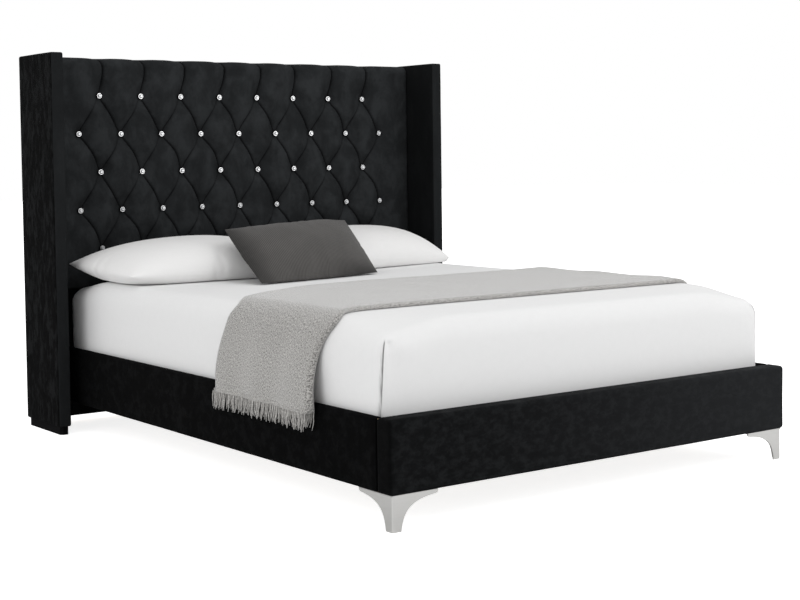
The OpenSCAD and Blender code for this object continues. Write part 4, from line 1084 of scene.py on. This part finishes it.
def woolFinish(name, source, paintedLight=1.0):
    finish = Finish(name, specular=0.1, sheen=1.0, sheenRough=0.38, sheenTint=(0.9, 0.9, 0.9, 1.0))
    place = finish.place(source)
    specks = finish.cloud(place, 205.0, 4.0, 0.85)
    knots = finish.cloud(place, 120.0, 3.0, 0.6)
    clouds = finish.cloud(place, 7.0, 3.0, 0.5)
    # painted light: the dark tone is raised for the fringe strands to offset their shading
    dark = toned((0.12, 0.116, 0.110), paintedLight)
    base = finish.colour(specks.ramp(0.42, 0.58), dark, (0.64, 0.625, 0.60))
    base = finish.colour(knots.ramp(0.35, 0.65) * 0.25, base, (0.30, 0.295, 0.288))
    base = finish.colour(clouds.ramp(0.3, 0.7) * 0.12, base, (0.25, 0.245, 0.24))
    if source == "UV":
        # painted light: on the level part on top, paler spots stand in for the light and sheen it
        # catches
        along = finish.axis(place, "X")
        level = along.ramp(0.24, 0.42) * along.ramp(1.88, 1.62)
        topSheenSpots = finish.cloud(finish.scaled(place, (110, 68, 90)), 1.0, 3.0, 0.75)
        base = finish.colour(level * topSheenSpots.ramp(0.40, 0.58) * 0.55, base, (0.62, 0.61, 0.595))
    return finish.into(base=base, rough=0.93 + specks * 0.05,
                       normal=finish.bump(specks + knots * 0.8, 0.0022, 0.7))


def makeThrow():
    plan = ThrowPlan()
    look = throwSet
    lengths, lanes = look["grid"]
    mesh = bmesh.new()
    bmesh.ops.create_grid(mesh, x_segments=lengths, y_segments=lanes, size=1)
    mapFlat(mesh, lambda place: ((place.x + 1) / 2 * look["length"], place.y * look["halfUV"]))
    middle, gap = (look["upper"] + look["lower"]) / 2, (look["upper"] - look["lower"]) / 2
    fold, squash = look["foldRadius"], look["foldSquash"]
    for vert in mesh.verts:
        s = (vert.co.x + 1) / 2 * look["length"]
        t = vert.co.y
        wide = plan.headY(s) - plan.footY(s)
        run = abs(t) * wide
        upper = t > 0
        if run < fold * pi / 2:
            angle = run / fold
            swell = gap + look["foldSwell"] * cos(angle) ** 2
            out = middle + (1 if upper else -1) * swell * sin(angle)
            v = fold * (1 - cos(angle)) * squash / wide
        else:
            v = (run - fold * (pi / 2 - squash)) / wide
            out = look["upper"] if upper else look["lower"]
        if upper:
            v *= 1 - look["headStep"] / wide
            out += plan.foldRoom(s, v)
            out += look["loft"] * (1 + ripple(s, v * wide, 2.0, 7)) * smooth(v * 8)
        out += look["bumps"] * max(0.0, ripple(s, v * wide, 0.0, 11))
        vert.co = plan.place(s, v, out)
        vert.co.y += look["edgeWander"] * ripple(s, 5.0 if upper else 9.0, 1.0, 10) * v
    throw = addPiece("foldedThrow", mesh, "throw", "grey_wool", "throw", woolFinish("greyWool", "UV"))
    shell = throw.modifiers.new("thickness", "SOLIDIFY")
    shell.thickness = look["cloth"]
    shell.offset = 0
    fringe = makeFringe(plan)
    print("throw laid")


def makeFringe(plan):
    look = fringeSet
    rng = random.Random(21)
    data = bpy.data.curves.new("throwFringe", "CURVE")
    data.dimensions = "3D"
    data.bevel_depth = look["thick"]
    data.bevel_resolution = 0
    data.use_fill_caps = True
    for end in (0, 1):
        for layer in ("lower", "upper"):
            upper = layer == "upper"
            for i in range(look["strands"]):
                v = (i + 0.5 + rng.uniform(-look["scatter"], look["scatter"])) / look["strands"]
                long = throwSet["fringe"] * rng.uniform(*look["share"])
                root = rng.uniform(0.0, look["root"]) if upper else 0.0
                lean = rng.uniform(-look["lean"], look["lean"])
                curl = rng.uniform(*look["curl"])
                phase = rng.uniform(0, 2 * pi)
                line = data.splines.new("POLY")
                line.points.add(look["joints"] - 1)
                for k, point in enumerate(line.points):
                    part = k / (look["joints"] - 1)
                    s = root - (long + root) * part
                    if end:
                        s = throwSet["length"] - s
                    out = throwSet[layer] + (plan.foldRoom(s, v) + look["lift"] if upper else 0.0)
                    out += look["bob"] * sin(curl * 5 * part + phase) * part
                    place = plan.place(s, clamp(v, 0.004, 0.996), out)
                    place.y += lean * part ** 1.5 + look["sway"] * sin(curl * 6 * part + phase) * part
                    point.co = (*place, 1.0)
                    point.radius = mix(1.0, look["thin"], part ** 2) * rng.uniform(*look["uneven"])
    draft = addObject("fringeDraft", data)
    bpy.context.view_layer.update()
    mesh = bmesh.new()
    mesh.from_mesh(bpy.data.meshes.new_from_object(draft))
    bmesh.ops.remove_doubles(mesh, verts=mesh.verts[:], dist=1e-6)
    bmesh.ops.recalc_face_normals(mesh, faces=mesh.faces[:])
    bpy.data.objects.remove(draft)
    # the strands use a lightened copy of the wool as painted light
    strand = woolFinish("woolStrand", "Object", look["paintedLight"])
    return addPiece("throwFringe", mesh, "throw", "grey_wool", "throw_fringe", strand)


floorSet = dict(tone=0.86, glow=0.82, half=30)


def makeFloor():
    finish = Finish("studioFloor", specular=0.0)
    finish.into(base=toned((1.0, 1.0, 1.0), floorSet["tone"]), rough=0.9)
    tree = finish.tree
    rays = tree.nodes.new("ShaderNodeLightPath").outputs
    glow = sumNode(tree, "MULTIPLY", rays["Is Camera Ray"], floorSet["glow"])
    finish.shader.inputs["Emission Color"].default_value = (1, 1, 1, 1)
    tree.links.new(glow, finish.shader.inputs["Emission Strength"])
    mesh = bmesh.new()
    bmesh.ops.create_grid(mesh, x_segments=1, y_segments=1, size=floorSet["half"])
    data = bpy.data.meshes.new("studioFloor")
    mesh.to_mesh(data)
    mesh.free()
    data.materials.append(finish.material)
    addObject("studioFloor", data)


makeCamera()
makeLamps()
makeWorld()
makeFloor()
dressNodes()
makeHeadboard()
makeWings()
makeRails()
makeMattress()
makePillows()
makeCushion()
makeThrow()
